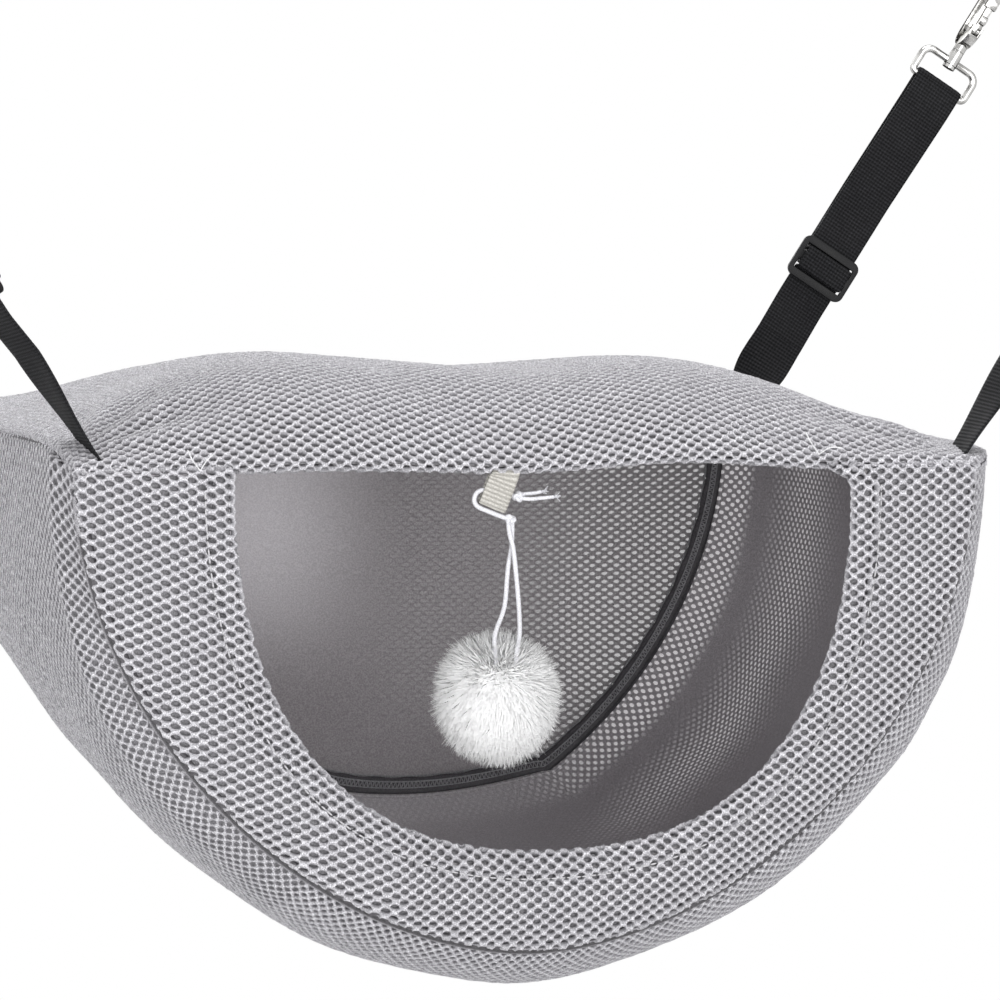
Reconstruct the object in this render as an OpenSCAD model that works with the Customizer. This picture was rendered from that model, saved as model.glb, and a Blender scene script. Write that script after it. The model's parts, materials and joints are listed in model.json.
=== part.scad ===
// Hanging pet hammock: a half-moon pouch of thick air mesh with a wide mouth,
// four adjustable webbing straps with swivel snap hooks, and a pompom on an elastic cord.
// +X is to the right of the mouth, the mouth faces -Y and +Z is up.

/* [Pouch] */
// Width between the top corners
pouch_w = 400; // [340:5:480]
// Depth from the front seam to the back seam
pouch_d = 400; // [340:5:460]
// Height of the front and back panels
panel_h = 212; // [190:2:260]
// Thickness of the air mesh
mesh_t = 4; // [3:0.5:5]
// How far the right side puffs out past the front seam
right_puff = 33; // [12:1:40]
// How far the left side puffs out past the front seam
left_puff = 22; // [12:1:40]
// How far the bottom puffs out below the front seam
bottom_puff = 21; // [12:1:36]
// How far the back seam is drawn up at its lower left
back_lift = 42; // [0:1:50]
// How far the back seam is drawn in at its lower left
back_inset = 22; // [0:1:30]
// Puff of the front and back panels
panel_puff = 8; // [3:1:14]
// Height of the two crests of the top panel above its corners
top_rise = 48; // [24:1:56]
// Dip of the top panel between its crests
top_dip = 11.5; // [0:0.5:16]
// How much the left crest stands above the middle of the top panel, and the right one below
top_tilt = 9.5; // [-12:0.5:12]
// Rise of the left side seam between the straps
left_rise = 11; // [2:1:20]
// Rise of the right side seam between the straps
right_rise = 2; // [0:1:20]
// Spread of the left side seam between the straps
left_spread = 4; // [2:1:24]
// Spread of the right side seam between the straps
right_spread = 19; // [2:1:24]

/* [Mouth] */
// Width of the mouth
mouth_w = 274; // [220:1:290]
// Height of the mouth
mouth_h = 166; // [130:1:172]
// Shift of the mouth to the right of the middle
mouth_shift = 6; // [-10:1:10]

/* [Seam allowances] */
// Reach of the overlocked seam allowance inside the pouch
allowance_w = 10; // [6:1:14]
// Thickness of the two closed layers
allowance_t = 4; // [2:0.5:5]

/* [Straps] */
// Webbing width
strap_w = 25; // [20:1:30]
// Webbing thickness
strap_t = 1.4; // [1:0.1:1.6]
// Lean of the straps from upright, in degrees
strap_lean = 33; // [20:1:40]
// Length of strap from the side seam to the ring
strap_l = 197; // [180:1:240]
// Length of strap from the side seam to the slider
lower_l = 90; // [84:1:105]
// Length of the sewn-in and twisted foot of the strap
anchor_l = 50; // [40:1:56]
// Distance of the strap from the corner, along the side seam
strap_edge = 17; // [14:1:30]
// Length of the sewn tail above the slider
tail_l = 18; // [12:1:22]

/* [Slider] */
// Width of the three-bar slider
slider_w = 32; // [30:1:38]
// Height of the slider along the strap
slider_h = 22; // [21:1:26]
// Thickness of the slider
slider_t = 2.4; // [2:0.1:3]
// Width of each bar
slider_bar = 4; // [3.5:0.1:4.2]

/* [Swivel ring] */
// Wire diameter of the ring
ring_wire = 3.6; // [3:0.1:4]
// Height of the ring between its two bars
ring_h = 14; // [13:0.5:18]
// Height of the swivel boss above the ring
boss_h = 4; // [4:0.5:8]
// Diameter of the swivel stem
stem_d = 4; // [3.5:0.1:4.5]

/* [Snap hook] */
// Inner diameter of the hook's bow
eye_d = 12; // [11:0.5:14]
// Straight length of the hook's eye
eye_l = 12; // [11:0.5:18]
// Wall of the hook in its own plane
hook_wall = 3.2; // [3:0.1:4]
// Thickness of the hook
hook_t = 5.6; // [5.6:0.1:7]
// Thickness of the gate
gate_t = 3.2; // [3:0.1:3.4]
// Diameter of the gate pin
pin_d = 2; // [1.6:0.1:2.2]
// Turn of the hook on its swivel, in degrees
hook_turn = 90; // [0:5:355]

/* [Toy] */
// Width of the ribbon tab
tab_w = 12.5; // [10:0.5:14]
// Length of the folded ribbon tab
tab_l = 17; // [16:0.5:18]
// Lean of the tab from upright, in degrees
tab_lean = 22; // [15:1:25]
// Diameter of the elastic cord
cord_d = 2; // [1.6:0.1:2.2]
// Diameter of the pompom
pompom_d = 56; // [44:1:60]
// Place of the tab, left of the middle
toy_left = 11; // [0:1:30]

/* [Hidden] */
// Fineness of round surfaces
$fn = 48;
// Overrun of every cut
over = 1;
// Gap between sewn layers
seam_gap = 0.3;
// Gap between the side seam allowances and the gusset
fold_gap = 0.9;
// Gap between webbing and plastic or itself
lay_gap = 0.3;
// Gap between the webbing bend and the ring
bend_gap = 0.2;
// Radial clearance of the swivel and of the gate on its pin
turn_gap = 0.05;
// End clearance of the turning parts
end_gap = 0.25;
// Sideways clearance of the webbing in the slider and the ring
side_gap = 1;

// Pouch frame: the belly hangs a little less low than the full puff
half_w = pouch_w / 2;
half_d = pouch_d / 2;
belly_rest = 1.7;
z_top = panel_h + bottom_puff - belly_rest;
z_edge = z_top - mesh_t - seam_gap;
panel_drop = panel_h - mesh_t - seam_gap;
end_y = half_d - mesh_t - seam_gap;
puff_power = 8;
top_power = 4.5;
top_fall = 0.3;
crest_power = 2.4;
crest_turn = 25;
edge_power = 12;
seam_power = 1.84;
mouth_power = 2.38;
lift_power = 0.8;
lift_start = 55;
gusset_steps = 40;
gusset_rows = 14;
top_steps = 24;
top_rows = 14;
front_rows = 5;
back_steps = 30;
back_rows = 6;
back_start = 6;
seam_start = 8;
seam_stop_share = 0.78;
top_seam_share = 0.85;

// Straps: name, side, end, turn of the strap's face in degrees
PLACES = [
    ["front_left", -1, -1, 75],
    ["front_right", 1, -1, 105],
    ["back_left", -1, 1, 180],
    ["back_right", 1, 1, 180]
];
foot_turn = 90;
twist_rows = 12;
twist_cols = 5;
anchor_sink = 6;
right_inset = 4;
left_inset = 10;
weave_lead = 5;
tail_step = 2;
run_lead = 12;
strap_y = half_d - strap_edge;
function strap_x(side) = half_w - (side > 0 ? right_inset : left_inset);

// Layers of webbing through the slider, measured from the slider's middle plane
lay = strap_t + lay_gap;
n_wrap = slider_t / 2 + lay_gap + strap_t / 2;
n_over = n_wrap + lay;
n_tail = -n_wrap - lay;
n_end = n_tail - lay;
wrap_z = slider_bar / 2 + lay_gap + strap_t / 2;
cross_z = (wrap_z + strap_t / 2 + slider_h / 2 - slider_bar) / 2;
weave_z = slider_h / 2 + weave_lead;
tail_z = slider_h / 2 + tail_l;
end_z = tail_z + tail_step;
slider_corner = slider_bar;

// Ring
wire_r = ring_wire / 2;
ring_half = strap_w / 2 + side_gap + wire_r;
foot_corner_share = 1.3;
foot_corner = wire_r * foot_corner_share;
head_corner_share = 2.6;
head_corner = wire_r * head_corner_share;
bend_r = wire_r + bend_gap;
n_ring = bend_r + strap_t / 2;
stem_r = stem_d / 2;
boss_share = 1.75;
boss_r = stem_r * boss_share;
boss_tip_share = 1.5;
head_r_share = 1.6;
head_r = stem_r * head_r_share;
head_t_share = 0.8;
head_t = stem_r * head_t_share;
hook_at = ring_h + wire_r + boss_h + end_gap;

// Hook, in its own frame with the stem along Z
eye_r = eye_d / 2;
hook_r = eye_r + hook_wall;
collar_r = stem_r * boss_tip_share;
collar_h = stem_d;
collar_sink_share = 0.3;
low_z = collar_h + hook_r - collar_h * collar_sink_share;
base_share = 0.66;
eye_low_z = low_z + eye_r * base_share;
bow_z = eye_low_z + eye_l;
pin_r = pin_d / 2;
foot_wall = 1.4;
foot_r = pin_r + foot_wall;
pivot_x = hook_r - foot_r - end_gap;
pivot_z = low_z;
ear_z = pivot_z + foot_r;
nose_drop_share = 0.5;
nose_z = bow_z - eye_r * nose_drop_share;
lever_in = eye_r + end_gap;
lever_out = hook_r - end_gap;
nub_share = 0.45;
nub_r = foot_r;
nub_z = pivot_z + (nose_z - pivot_z) * nub_share;
spring_t = 1.2;
spring_r = foot_r - end_gap;

// Toy: the cord's route is measured from the middle of the tab's sewn edge
toy_x = -toy_left;
tab_set = 6;
tab_root = 2.2;
toy_y = -half_d + tab_set;
toy_z = z_edge;
cord_r = cord_d / 2;
cord_gap = 0.3;
ribbon_t = 0.8;
fold_in = cord_r + cord_gap;
fold_out = fold_in + ribbon_t;
fold_at = tab_l - fold_out;
cord_sides = 8;
cord_steps = 3;
lump = [2, 0, -21];
lump_r = 2.6;
knot = [5.4, 0, -11];
knot_r = 2.6;
tail_up = [[7.9, 0.6, -9.2], [10.6, 0.4, -8.6], [14, 0, -8.6], [18.2, -0.4, -8.2]];
tail_low = [[8.3, -1, -11.4], [11.6, -1.6, -11.6], [17, -2.4, -11.2], [23, -2.6, -10.8]];
hitch_route = [
    [5.2, 0, -12.6], [4.6, 0, -15], [2.4, 0, -16.7], [-1, 0, -15.7], [-5, 0, -14.1],
    [-12.2, 0, -11.3], [-14.6, 0, -12], [-14.4, 0, -14],
    [-12.4, 0, -15.2], [-7, 0, -17.4], [-2, 0, -19.4], [2, 0, -21]
];
cord_route = [
    [1, 0, -24.2], [1.4, -1, -28], [2.2, -1.5, -33], [3, -0.6, -50], [3.5, 0, -70], [2.4, 0, -84],
    [-0.6, 0, -90], [-3.6, 0, -84], [-4.6, 0, -70], [-2, 0.6, -50], [2, 1.5, -33],
    [3, 1, -28], [3.4, 0, -24.2]
];
pompom = [0, 0, -98];

// Colours
mesh_colour = [0.68, 0.67, 0.68];
seam_colour = [0.3, 0.29, 0.3];
black = [0.06, 0.06, 0.065];
nickel = [0.78, 0.78, 0.77];
cream = [0.93, 0.9, 0.83];
white = [0.95, 0.95, 0.94];

STRAP_NODES = [
    "strap_anchor", "strap_lower_run", "strap_weave", "strap_upper_run", "strap_bend", "slider",
    "ring", "hook", "gate", "gate_pin", "gate_spring"
];

// Puff between two seams, for a share s from -1 to 1 across the panel
function puff(s, power) = 1 - pow(abs(s), power);

// Power curve that keeps its sign
function curve(v, power) = sign(v) * pow(abs(v), 2 / power);

// Length along a list of counts from 0 to 1
function steps(n) = [for (i = [0 : n]) i / n];

// Share of a depth from the front seam, -1, to the back seam, 1, closer together at both
function depth_share(j) = sin(180 * j - 90);

// Seam line of the half-moon panels, at an angle t from the right corner under the pouch to the
// left, at the share s of the depth: the back is drawn up and in at its lower left
function seam_point(t, s) =
    let (back = pow((1 + s) / 2, 2), u = max(t - lift_start, 0) / (180 - lift_start))
    [
        half_w * curve(cos(t), seam_power) + back_inset * back * max(-cos(t), 0) * sin(t),
        z_edge - panel_drop * curve(sin(t), seam_power) + back_lift * back * pow(sin(180 * u), lift_power)
    ];

// Outward direction square to the seam line
function seam_out(t) =
    let (v = [panel_drop * cos(t), -half_w * sin(t)])
    v / norm(v);

// Share of the top corner's own shape at an angle t
function corner_share(t) = pow(abs(cos(t)), edge_power);

// Outer face of the gusset at the angle t and the share s of its depth, moved inward by a depth
function gusset_point(t, s, inward) =
    let (p = seam_point(t, s), n = seam_out(t), c = corner_share(t), f = puff(s, puff_power))
    let (side = t < 90 ? right_puff : left_puff)
    let (spread = t < 90 ? right_spread : left_spread, rise = t < 90 ? right_rise : left_rise)
    let (bell = side * pow(cos(t), 2) + bottom_puff * pow(sin(t), 2))
    let (swell = f * (bell * (1 - c) + spread * c) - inward)
    [p[0] + swell * n[0], s * end_y, p[1] + swell * n[1] + f * rise * c];

// Share of the top panel's height at the share s of its depth: full near the front, then falling
function top_lift(s) = puff(s, top_power) * (1 - top_fall * (1 + s));
top_full = max([for (i = steps(100)) top_lift(2 * i - 1)]);

// Outer face of the top panel at the shares q of its width and s of its depth
function top_point(q, s, down) =
    let (edge = puff(s, puff_power), f = top_lift(s) / top_full)
    let (rise = left_rise + (right_rise - left_rise) * (1 + q) / 2)
    let (dip = top_dip * (1 + cos(360 * q + crest_turn)) / 2)
    let (crest = top_rise - rise - dip - top_tilt * q)
    [
        q * (half_w + (q > 0 ? right_spread : left_spread) * edge),
        s * half_d,
        z_top + rise * edge + f * crest * puff(q, crest_power) - down
    ];

// Height of the top panel where a strap is sewn on, on the side -1 or 1 and at the end -1 or 1
function strap_z(side, end) =
    let (s = end * strap_y / half_d, edge = puff(s, puff_power))
    let (q = strap_x(side) / (half_w + (side > 0 ? right_spread : left_spread) * edge))
    top_point(side * q, s, mesh_t / 2)[2];

// Edge of the mouth at the angle t
function mouth_point(t) = [
    mouth_shift + mouth_w / 2 * curve(cos(t), mouth_power),
    z_edge - (mouth_h - mesh_t) * curve(sin(t), mouth_power)
];

// Front panel at the angle t and the share r from the mouth to the seam
function front_point(t, r, inward) =
    let (m = mouth_point(t), p = seam_point(t, -1), v = m + (p - m) * r)
    [v[0], -half_d - panel_puff * sin(180 * r) * sin(t) + inward, v[1]];

// Back panel at the angle t and the share r of its height there
function back_point(t, r, inward) =
    let (p = seam_point(t, 1), z = z_edge + (p[1] - z_edge) * r)
    [p[0], half_d + panel_puff * sin(180 * r) * sin(t) - inward, z];

// Closed solid between two grids of points, the first one outside
module slab(outer, inner) {
    rows = len(outer);
    cols = len(outer[0]);
    count = rows * cols;
    function at(k, i, j) = k * count + i * cols + j;
    points = concat([for (row = outer) each row], [for (row = inner) each row]);
    skin = [for (i = [0 : rows - 2], j = [0 : cols - 2]) each [
        [at(0, i, j), at(0, i, j + 1), at(0, i + 1, j + 1)],
        [at(0, i, j), at(0, i + 1, j + 1), at(0, i + 1, j)],
        [at(1, i, j), at(1, i + 1, j + 1), at(1, i, j + 1)],
        [at(1, i, j), at(1, i + 1, j), at(1, i + 1, j + 1)]
    ]];
    ends = [for (j = [0 : cols - 2]) each [
        [at(0, 0, j), at(1, 0, j + 1), at(0, 0, j + 1)],
        [at(0, 0, j), at(1, 0, j), at(1, 0, j + 1)],
        [at(0, rows - 1, j), at(0, rows - 1, j + 1), at(1, rows - 1, j + 1)],
        [at(0, rows - 1, j), at(1, rows - 1, j + 1), at(1, rows - 1, j)]
    ]];
    sides = [for (i = [0 : rows - 2]) each [
        [at(0, i, 0), at(0, i + 1, 0), at(1, i + 1, 0)],
        [at(0, i, 0), at(1, i + 1, 0), at(1, i, 0)],
        [at(0, i, cols - 1), at(1, i + 1, cols - 1), at(0, i + 1, cols - 1)],
        [at(0, i, cols - 1), at(1, i, cols - 1), at(1, i + 1, cols - 1)]
    ]];
    polyhedron(points, concat(skin, ends, sides));
}

// Closed solid through a row of rings of points
module sweep(rings) {
    rows = len(rings);
    cols = len(rings[0]);
    function at(i, j) = i * cols + j % cols;
    points = [for (ring = rings) each ring];
    skin = [for (i = [0 : rows - 2], j = [0 : cols - 1]) each [
        [at(i, j), at(i, j + 1), at(i + 1, j + 1)],
        [at(i, j), at(i + 1, j + 1), at(i + 1, j)]
    ]];
    first = [for (j = [1 : cols - 2]) [at(0, 0), at(0, j + 1), at(0, j)]];
    last = [for (j = [1 : cols - 2]) [at(rows - 1, 0), at(rows - 1, j), at(rows - 1, j + 1)]];
    polyhedron(points, concat(skin, first, last));
}

// Smooth points through a cord's route
function route_point(p, i, u) =
    let (a = p[max(i - 1, 0)], b = p[i], c = p[i + 1], d = p[min(i + 2, len(p) - 1)])
    (2 * b + (c - a) * u + (2 * a - 5 * b + 4 * c - d) * u * u
    + (3 * b - a - 3 * c + d) * u * u * u) / 2;
function smooth(p) = concat(
    [for (i = [0 : len(p) - 2], k = [0 : cord_steps - 1]) route_point(p, i, k / cord_steps)],
    [p[len(p) - 1]]
);

// Round cord along a route
module cord(route) {
    p = smooth(route);
    last = len(p) - 1;
    sweep([for (i = [0 : last])
        let (along = p[min(i + 1, last)] - p[max(i - 1, 0)], t = along / norm(along))
        let (v = cross([0, 1, 0], t), a = v / norm(v), b = cross(t, a))
        [for (j = [0 : cord_sides - 1])
            p[i] + cord_r * (cos(-360 * j / cord_sides) * a + sin(-360 * j / cord_sides) * b)]
    ]);
}

// Side view of webbing along a path of [along, out] points
function path_normal(p, i) =
    let (last = len(p) - 1)
    let (u = p[min(i + 1, last)] - p[min(i, last - 1)], v = p[max(i, 1)] - p[max(i - 1, 0)])
    let (a = u / norm(u), b = v / norm(v), m = [-(a[1] + b[1]), a[0] + b[0]])
    m / (1 + a * b);
module webbing(path) {
    n = len(path) - 1;
    outline = concat(
        [for (i = [0 : n]) path[i] + path_normal(path, i) * strap_t / 2],
        [for (i = [n : -1 : 0]) path[i] - path_normal(path, i) * strap_t / 2]
    );
    rotate([0, -90, 0]) linear_extrude(strap_w, center = true) polygon(outline);
}

// Places along one strap
module at_foot(p) {
    mirror([p[1] < 0 ? 1 : 0, 0, 0])
        translate([strap_x(p[1]), p[2] * strap_y, strap_z(p[1], p[2])])
            rotate([0, strap_lean, 0]) children();
}
module at_strap(p) {
    at_foot(p) rotate([0, 0, p[3]]) children();
}
module at_slider(p) {
    at_strap(p) translate([0, 0, lower_l]) children();
}
module at_ring(p) {
    at_strap(p) translate([0, 0, strap_l]) children();
}
module at_hook(p) {
    at_ring(p) translate([0, 0, hook_at]) rotate([0, 0, hook_turn]) children();
}

module top_panel() {
    color(mesh_colour) slab(
        [for (i = steps(top_steps)) [for (j = steps(top_rows)) top_point(2 * i - 1, depth_share(j), 0)]],
        [for (i = steps(top_steps)) [for (j = steps(top_rows)) top_point(2 * i - 1, depth_share(j), mesh_t)]]
    );
}

module front_panel() {
    color(mesh_colour) slab(
        [for (i = steps(gusset_steps)) [for (r = steps(front_rows)) front_point(180 * i, 1 - r, 0)]],
        [for (i = steps(gusset_steps)) [for (r = steps(front_rows)) front_point(180 * i, 1 - r, mesh_t)]]
    );
}

module back_panel() {
    span = 180 - 2 * back_start;
    color(mesh_colour) slab(
        [for (i = steps(back_steps)) [for (r = steps(back_rows)) back_point(back_start + span * i, r, 0)]],
        [for (i = steps(back_steps)) [for (r = steps(back_rows)) back_point(back_start + span * i, r, mesh_t)]]
    );
}

module gusset_panel() {
    color(mesh_colour) slab(
        [for (i = steps(gusset_steps)) [for (j = steps(gusset_rows)) gusset_point(180 * i, -depth_share(j), 0)]],
        [for (i = steps(gusset_steps)) [for (j = steps(gusset_rows)) gusset_point(180 * i, -depth_share(j), mesh_t)]]
    );
}

// Section of a seam allowance that stands out of an inner corner along both of its faces
function allowance(c, u, v) =
    let (out = (u + v) / sqrt(2), side = (u - v) / sqrt(2), h = allowance_t / 2)
    [
        c,
        c + out * h + side * h,
        c + out * allowance_w + side * h,
        c + out * allowance_w - side * h,
        c + out * h - side * h
    ];

// Allowance of a half-moon seam, at the front with end -1 or at the back with end 1
module moon_seam(end) {
    span = 180 - 2 * seam_start;
    rings = [for (i = steps(gusset_steps))
        let (t = seam_start + span * i, p = seam_point(t, end), n = seam_out(t), d = mesh_t + seam_gap)
        allowance(
            [p[0] - d * n[0], end * (end_y - seam_gap), p[1] - d * n[1]],
            [-n[0], 0, -n[1]],
            [0, -end, 0]
        )];
    color(seam_colour) sweep(end < 0 ? [for (r = rings) [for (k = [4 : -1 : 0]) r[k]]] : rings);
}
module front_seam() {
    moon_seam(-1);
}
module back_seam() {
    moon_seam(1);
}

module top_back_seam() {
    color(seam_colour) sweep([for (q = [-top_seam_share, top_seam_share])
        allowance([q * half_w, end_y, z_edge - seam_gap], [0, 0, -1], [0, -1, 0])]);
}

module top_side_seam(spread, rise) {
    sweep([for (j = steps(gusset_rows))
        let (s = depth_share(j) * seam_stop_share, f = puff(s, puff_power))
        allowance(
            [half_w + spread * f - mesh_t - fold_gap, s * end_y, z_edge + rise * f - seam_gap],
            [0, 0, -1],
            [-1, 0, 0]
        )]);
}
module top_side_seams() {
    color(seam_colour) {
        top_side_seam(right_spread, right_rise);
        mirror([1, 0, 0]) top_side_seam(left_spread, left_rise);
    }
}

// Foot of a strap, sewn into the side seam and twisted up to the strap's own plane
function foot_point(p, i, j, out) =
    let (z = (anchor_l + anchor_sink) * i - anchor_sink, k = (1 - cos(180 * i)) / 2)
    let (turn = foot_turn + (p[3] - foot_turn) * k)
    [cos(turn), sin(turn), 0] * strap_w * (j - 1 / 2) + [-sin(turn), cos(turn), 0] * out + [0, 0, z];
module strap_anchor(p) {
    color(black) at_foot(p) slab(
        [for (i = steps(twist_rows)) [for (j = steps(twist_cols)) foot_point(p, i, j, strap_t / 2)]],
        [for (i = steps(twist_rows)) [for (j = steps(twist_cols)) foot_point(p, i, j, -strap_t / 2)]]
    );
}

module strap_lower_run(p) {
    color(black) at_strap(p) webbing([
        [anchor_l, 0],
        [lower_l - weave_z - weave_lead, -n_wrap],
        [lower_l - weave_z, -n_wrap]
    ]);
}

// Webbing in the slider: the running layer over the middle bar, and the sewn end round it
module strap_weave(p) {
    color(black) at_slider(p) {
        webbing([
            [-weave_z, -n_wrap],
            [-cross_z, -n_wrap],
            [-cross_z, n_over],
            [cross_z, n_over],
            [cross_z, -n_wrap],
            [weave_z, -n_wrap]
        ]);
        webbing([
            [end_z, n_end],
            [-wrap_z, n_end],
            [-wrap_z, n_wrap],
            [wrap_z, n_wrap],
            [wrap_z, n_tail],
            [tail_z, n_tail]
        ]);
    }
}

// The two layers of webbing between the slider and the ring
module strap_upper_run(p) {
    color(black) at_strap(p) {
        webbing([
            [lower_l + weave_z, -n_wrap],
            [lower_l + end_z + run_lead, -n_wrap],
            [strap_l - run_lead, n_ring],
            [strap_l, n_ring]
        ]);
        webbing([
            [lower_l + end_z, n_end],
            [lower_l + end_z + run_lead, n_end],
            [strap_l - run_lead, -n_ring],
            [strap_l, -n_ring]
        ]);
    }
}

// Bend of the webbing over the ring's lower bar
module strap_bend(p) {
    color(black) at_ring(p) rotate([90, 0, 90]) translate([0, 0, -strap_w / 2])
        rotate_extrude(angle = 180) translate([bend_r, 0]) square([strap_t, strap_w]);
}

// Three-bar slider
module slider(p) {
    slot_w = strap_w + 2 * side_gap;
    slot_h = slider_h / 2 - slider_bar - slider_bar / 2;
    color(black) at_slider(p) difference() {
        union() {
            cube([slider_w - 2 * slider_corner, slider_t, slider_h], center = true);
            cube([slider_w, slider_t, slider_h - 2 * slider_corner], center = true);
            for (x = [-1, 1], z = [-1, 1])
                translate([x * (slider_w / 2 - slider_corner), 0, z * (slider_h / 2 - slider_corner)])
                    rotate([90, 0, 0]) cylinder(r = slider_corner, h = slider_t, center = true);
        }
        for (z = [-1, 1]) translate([0, 0, z * (slider_bar / 2 + slot_h / 2)])
            cube([slot_w, slider_t + 2 * over, slot_h], center = true);
    }
}

// Bar of the ring between two points that differ along one axis
module wire(from, to) {
    d = to - from;
    translate(from) rotate(d[0] > 0 ? [0, 90, 0] : [0, 0, 0]) cylinder(r = wire_r, h = norm(d));
}
module wire_corner(at, turn, r) {
    translate(at) rotate([90, 0, 0]) rotate([0, 0, turn])
        rotate_extrude(angle = 90) translate([r, 0]) circle(r = wire_r);
}

// Ring with its swivel boss
module ring(p) {
    color(nickel) at_ring(p) difference() {
        union() {
            wire([foot_corner - ring_half, 0, 0], [ring_half - foot_corner, 0, 0]);
            wire([head_corner - ring_half, 0, ring_h], [ring_half - head_corner, 0, ring_h]);
            for (x = [-1, 1])
                wire([x * ring_half, 0, foot_corner], [x * ring_half, 0, ring_h - head_corner]);
            wire_corner([ring_half - foot_corner, 0, foot_corner], 270, foot_corner);
            wire_corner([foot_corner - ring_half, 0, foot_corner], 180, foot_corner);
            wire_corner([ring_half - head_corner, 0, ring_h - head_corner], 0, head_corner);
            wire_corner([head_corner - ring_half, 0, ring_h - head_corner], 90, head_corner);
            translate([0, 0, ring_h - wire_r])
                cylinder(r1 = boss_r, r2 = stem_r * boss_tip_share, h = ring_wire + boss_h);
        }
        translate([0, 0, ring_h - wire_r - over])
            cylinder(r = stem_r + turn_gap, h = ring_wire + boss_h + 2 * over);
    }
}

// Slot with round ends in the hook's plane
module eye(r, low, high, t) {
    for (z = [low, high]) translate([0, 0, z]) rotate([90, 0, 0]) cylinder(r = r, h = t, center = true);
    translate([-r, -t / 2, low]) cube([2 * r, t, high - low]);
}

// Hook with its riveted swivel stem
module hook(p) {
    stem_l = ring_wire + boss_h + 2 * end_gap;
    slot_t = gate_t + 2 * end_gap;
    slot_x = pivot_x - foot_r - end_gap;
    color(nickel) at_hook(p) difference() {
        union() {
            eye(hook_r, low_z, bow_z, hook_t);
            cylinder(r = collar_r, h = collar_h + hook_wall);
            translate([0, 0, -stem_l]) cylinder(r = stem_r, h = stem_l + over);
            translate([0, 0, -stem_l - head_t]) cylinder(r = head_r, h = head_t);
        }
        eye(eye_r, eye_low_z, bow_z, hook_t + 2 * over);
        translate([slot_x, -hook_t / 2 - over, ear_z])
            cube([hook_r - slot_x + over, hook_t + 2 * over, nose_z - ear_z]);
        translate([slot_x, -slot_t / 2, pivot_z - foot_r - end_gap])
            cube([hook_r - slot_x + over, slot_t, 2 * foot_r + end_gap + over]);
        translate([pivot_x, 0, pivot_z]) rotate([90, 0, 0])
            cylinder(r = pin_r, h = hook_t + 2 * over, center = true);
    }
}

// Lever gate with a thumb nub, closed against the hook's nose
module gate(p) {
    step_y = gate_t / 2 - spring_t - end_gap;
    color(nickel) at_hook(p) difference() {
        union() {
            translate([pivot_x, 0, pivot_z]) rotate([90, 0, 0])
                cylinder(r = foot_r, h = gate_t, center = true);
            translate([lever_in, -gate_t / 2, pivot_z])
                cube([lever_out - lever_in, gate_t, nose_z - end_gap - pivot_z]);
            translate([lever_out, 0, nub_z]) rotate([90, 0, 0])
                cylinder(r = nub_r, h = gate_t, center = true);
        }
        translate([pivot_x, 0, pivot_z]) rotate([90, 0, 0])
            cylinder(r = pin_r + turn_gap, h = gate_t + 2 * over, center = true);
        translate([pivot_x, step_y, pivot_z]) rotate([-90, 0, 0])
            cylinder(r = foot_r + end_gap, h = gate_t);
    }
}

module gate_pin(p) {
    color(nickel) at_hook(p) translate([pivot_x, 0, pivot_z]) rotate([90, 0, 0])
        cylinder(r = pin_r, h = hook_t, center = true);
}

// Closed coil of the gate's spring, beside the gate's foot
module gate_spring(p) {
    color(nickel) at_hook(p) translate([pivot_x, gate_t / 2 - spring_t, pivot_z]) rotate([-90, 0, 0])
        difference() {
            cylinder(r = spring_r, h = spring_t);
            translate([0, 0, -over]) cylinder(r = pin_r + turn_gap, h = spring_t + 2 * over);
        }
}

module at_toy() {
    translate([toy_x, toy_y, toy_z]) children();
}

// Ribbon folded double and sewn under the edge of the top panel
module toy_tab() {
    color(cream) at_toy() rotate([0, tab_lean, 0]) difference() {
        union() {
            translate([-tab_w / 2, -fold_out, -fold_at]) cube([tab_w, 2 * fold_out, fold_at + tab_root]);
            translate([-tab_w / 2, 0, -fold_at]) rotate([0, 90, 0]) cylinder(r = fold_out, h = tab_w);
        }
        translate([-tab_w / 2 - over, -fold_in, -fold_at])
            cube([tab_w + 2 * over, 2 * fold_in, fold_at - 2 * ribbon_t]);
        translate([-tab_w / 2 - over, 0, -fold_at]) rotate([0, 90, 0])
            cylinder(r = fold_in, h = tab_w + 2 * over);
    }
}

// Cord through the fold of the tab and back under it
module toy_hitch() {
    color(white) at_toy() cord(hitch_route);
}

// Knot with its two tails, and the hitch that carries the cord
module toy_knot() {
    color(white) at_toy() {
        translate(lump) sphere(r = lump_r);
        translate(knot) sphere(r = knot_r);
        cord(tail_up);
        cord(tail_low);
    }
}

module toy_cord() {
    color(white) at_toy() cord(cord_route);
}

module pompom() {
    color(white) at_toy() translate(pompom) sphere(d = pompom_d);
}

top_panel();
front_panel();
back_panel();
gusset_panel();
front_seam();
back_seam();
top_back_seam();
top_side_seams();
for (p = PLACES) {
    strap_anchor(p);
    strap_lower_run(p);
    strap_weave(p);
    strap_upper_run(p);
    strap_bend(p);
    slider(p);
    ring(p);
    hook(p);
    gate(p);
    gate_pin(p);
    gate_spring(p);
}
toy_tab();
toy_hitch();
toy_knot();
toy_cord();
pompom();
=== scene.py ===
"""Hanging pet hammock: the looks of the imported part, in its own frame."""
import json
import math

import bmesh
import bpy
import numpy as np
from mathutils import Matrix, Vector


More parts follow.
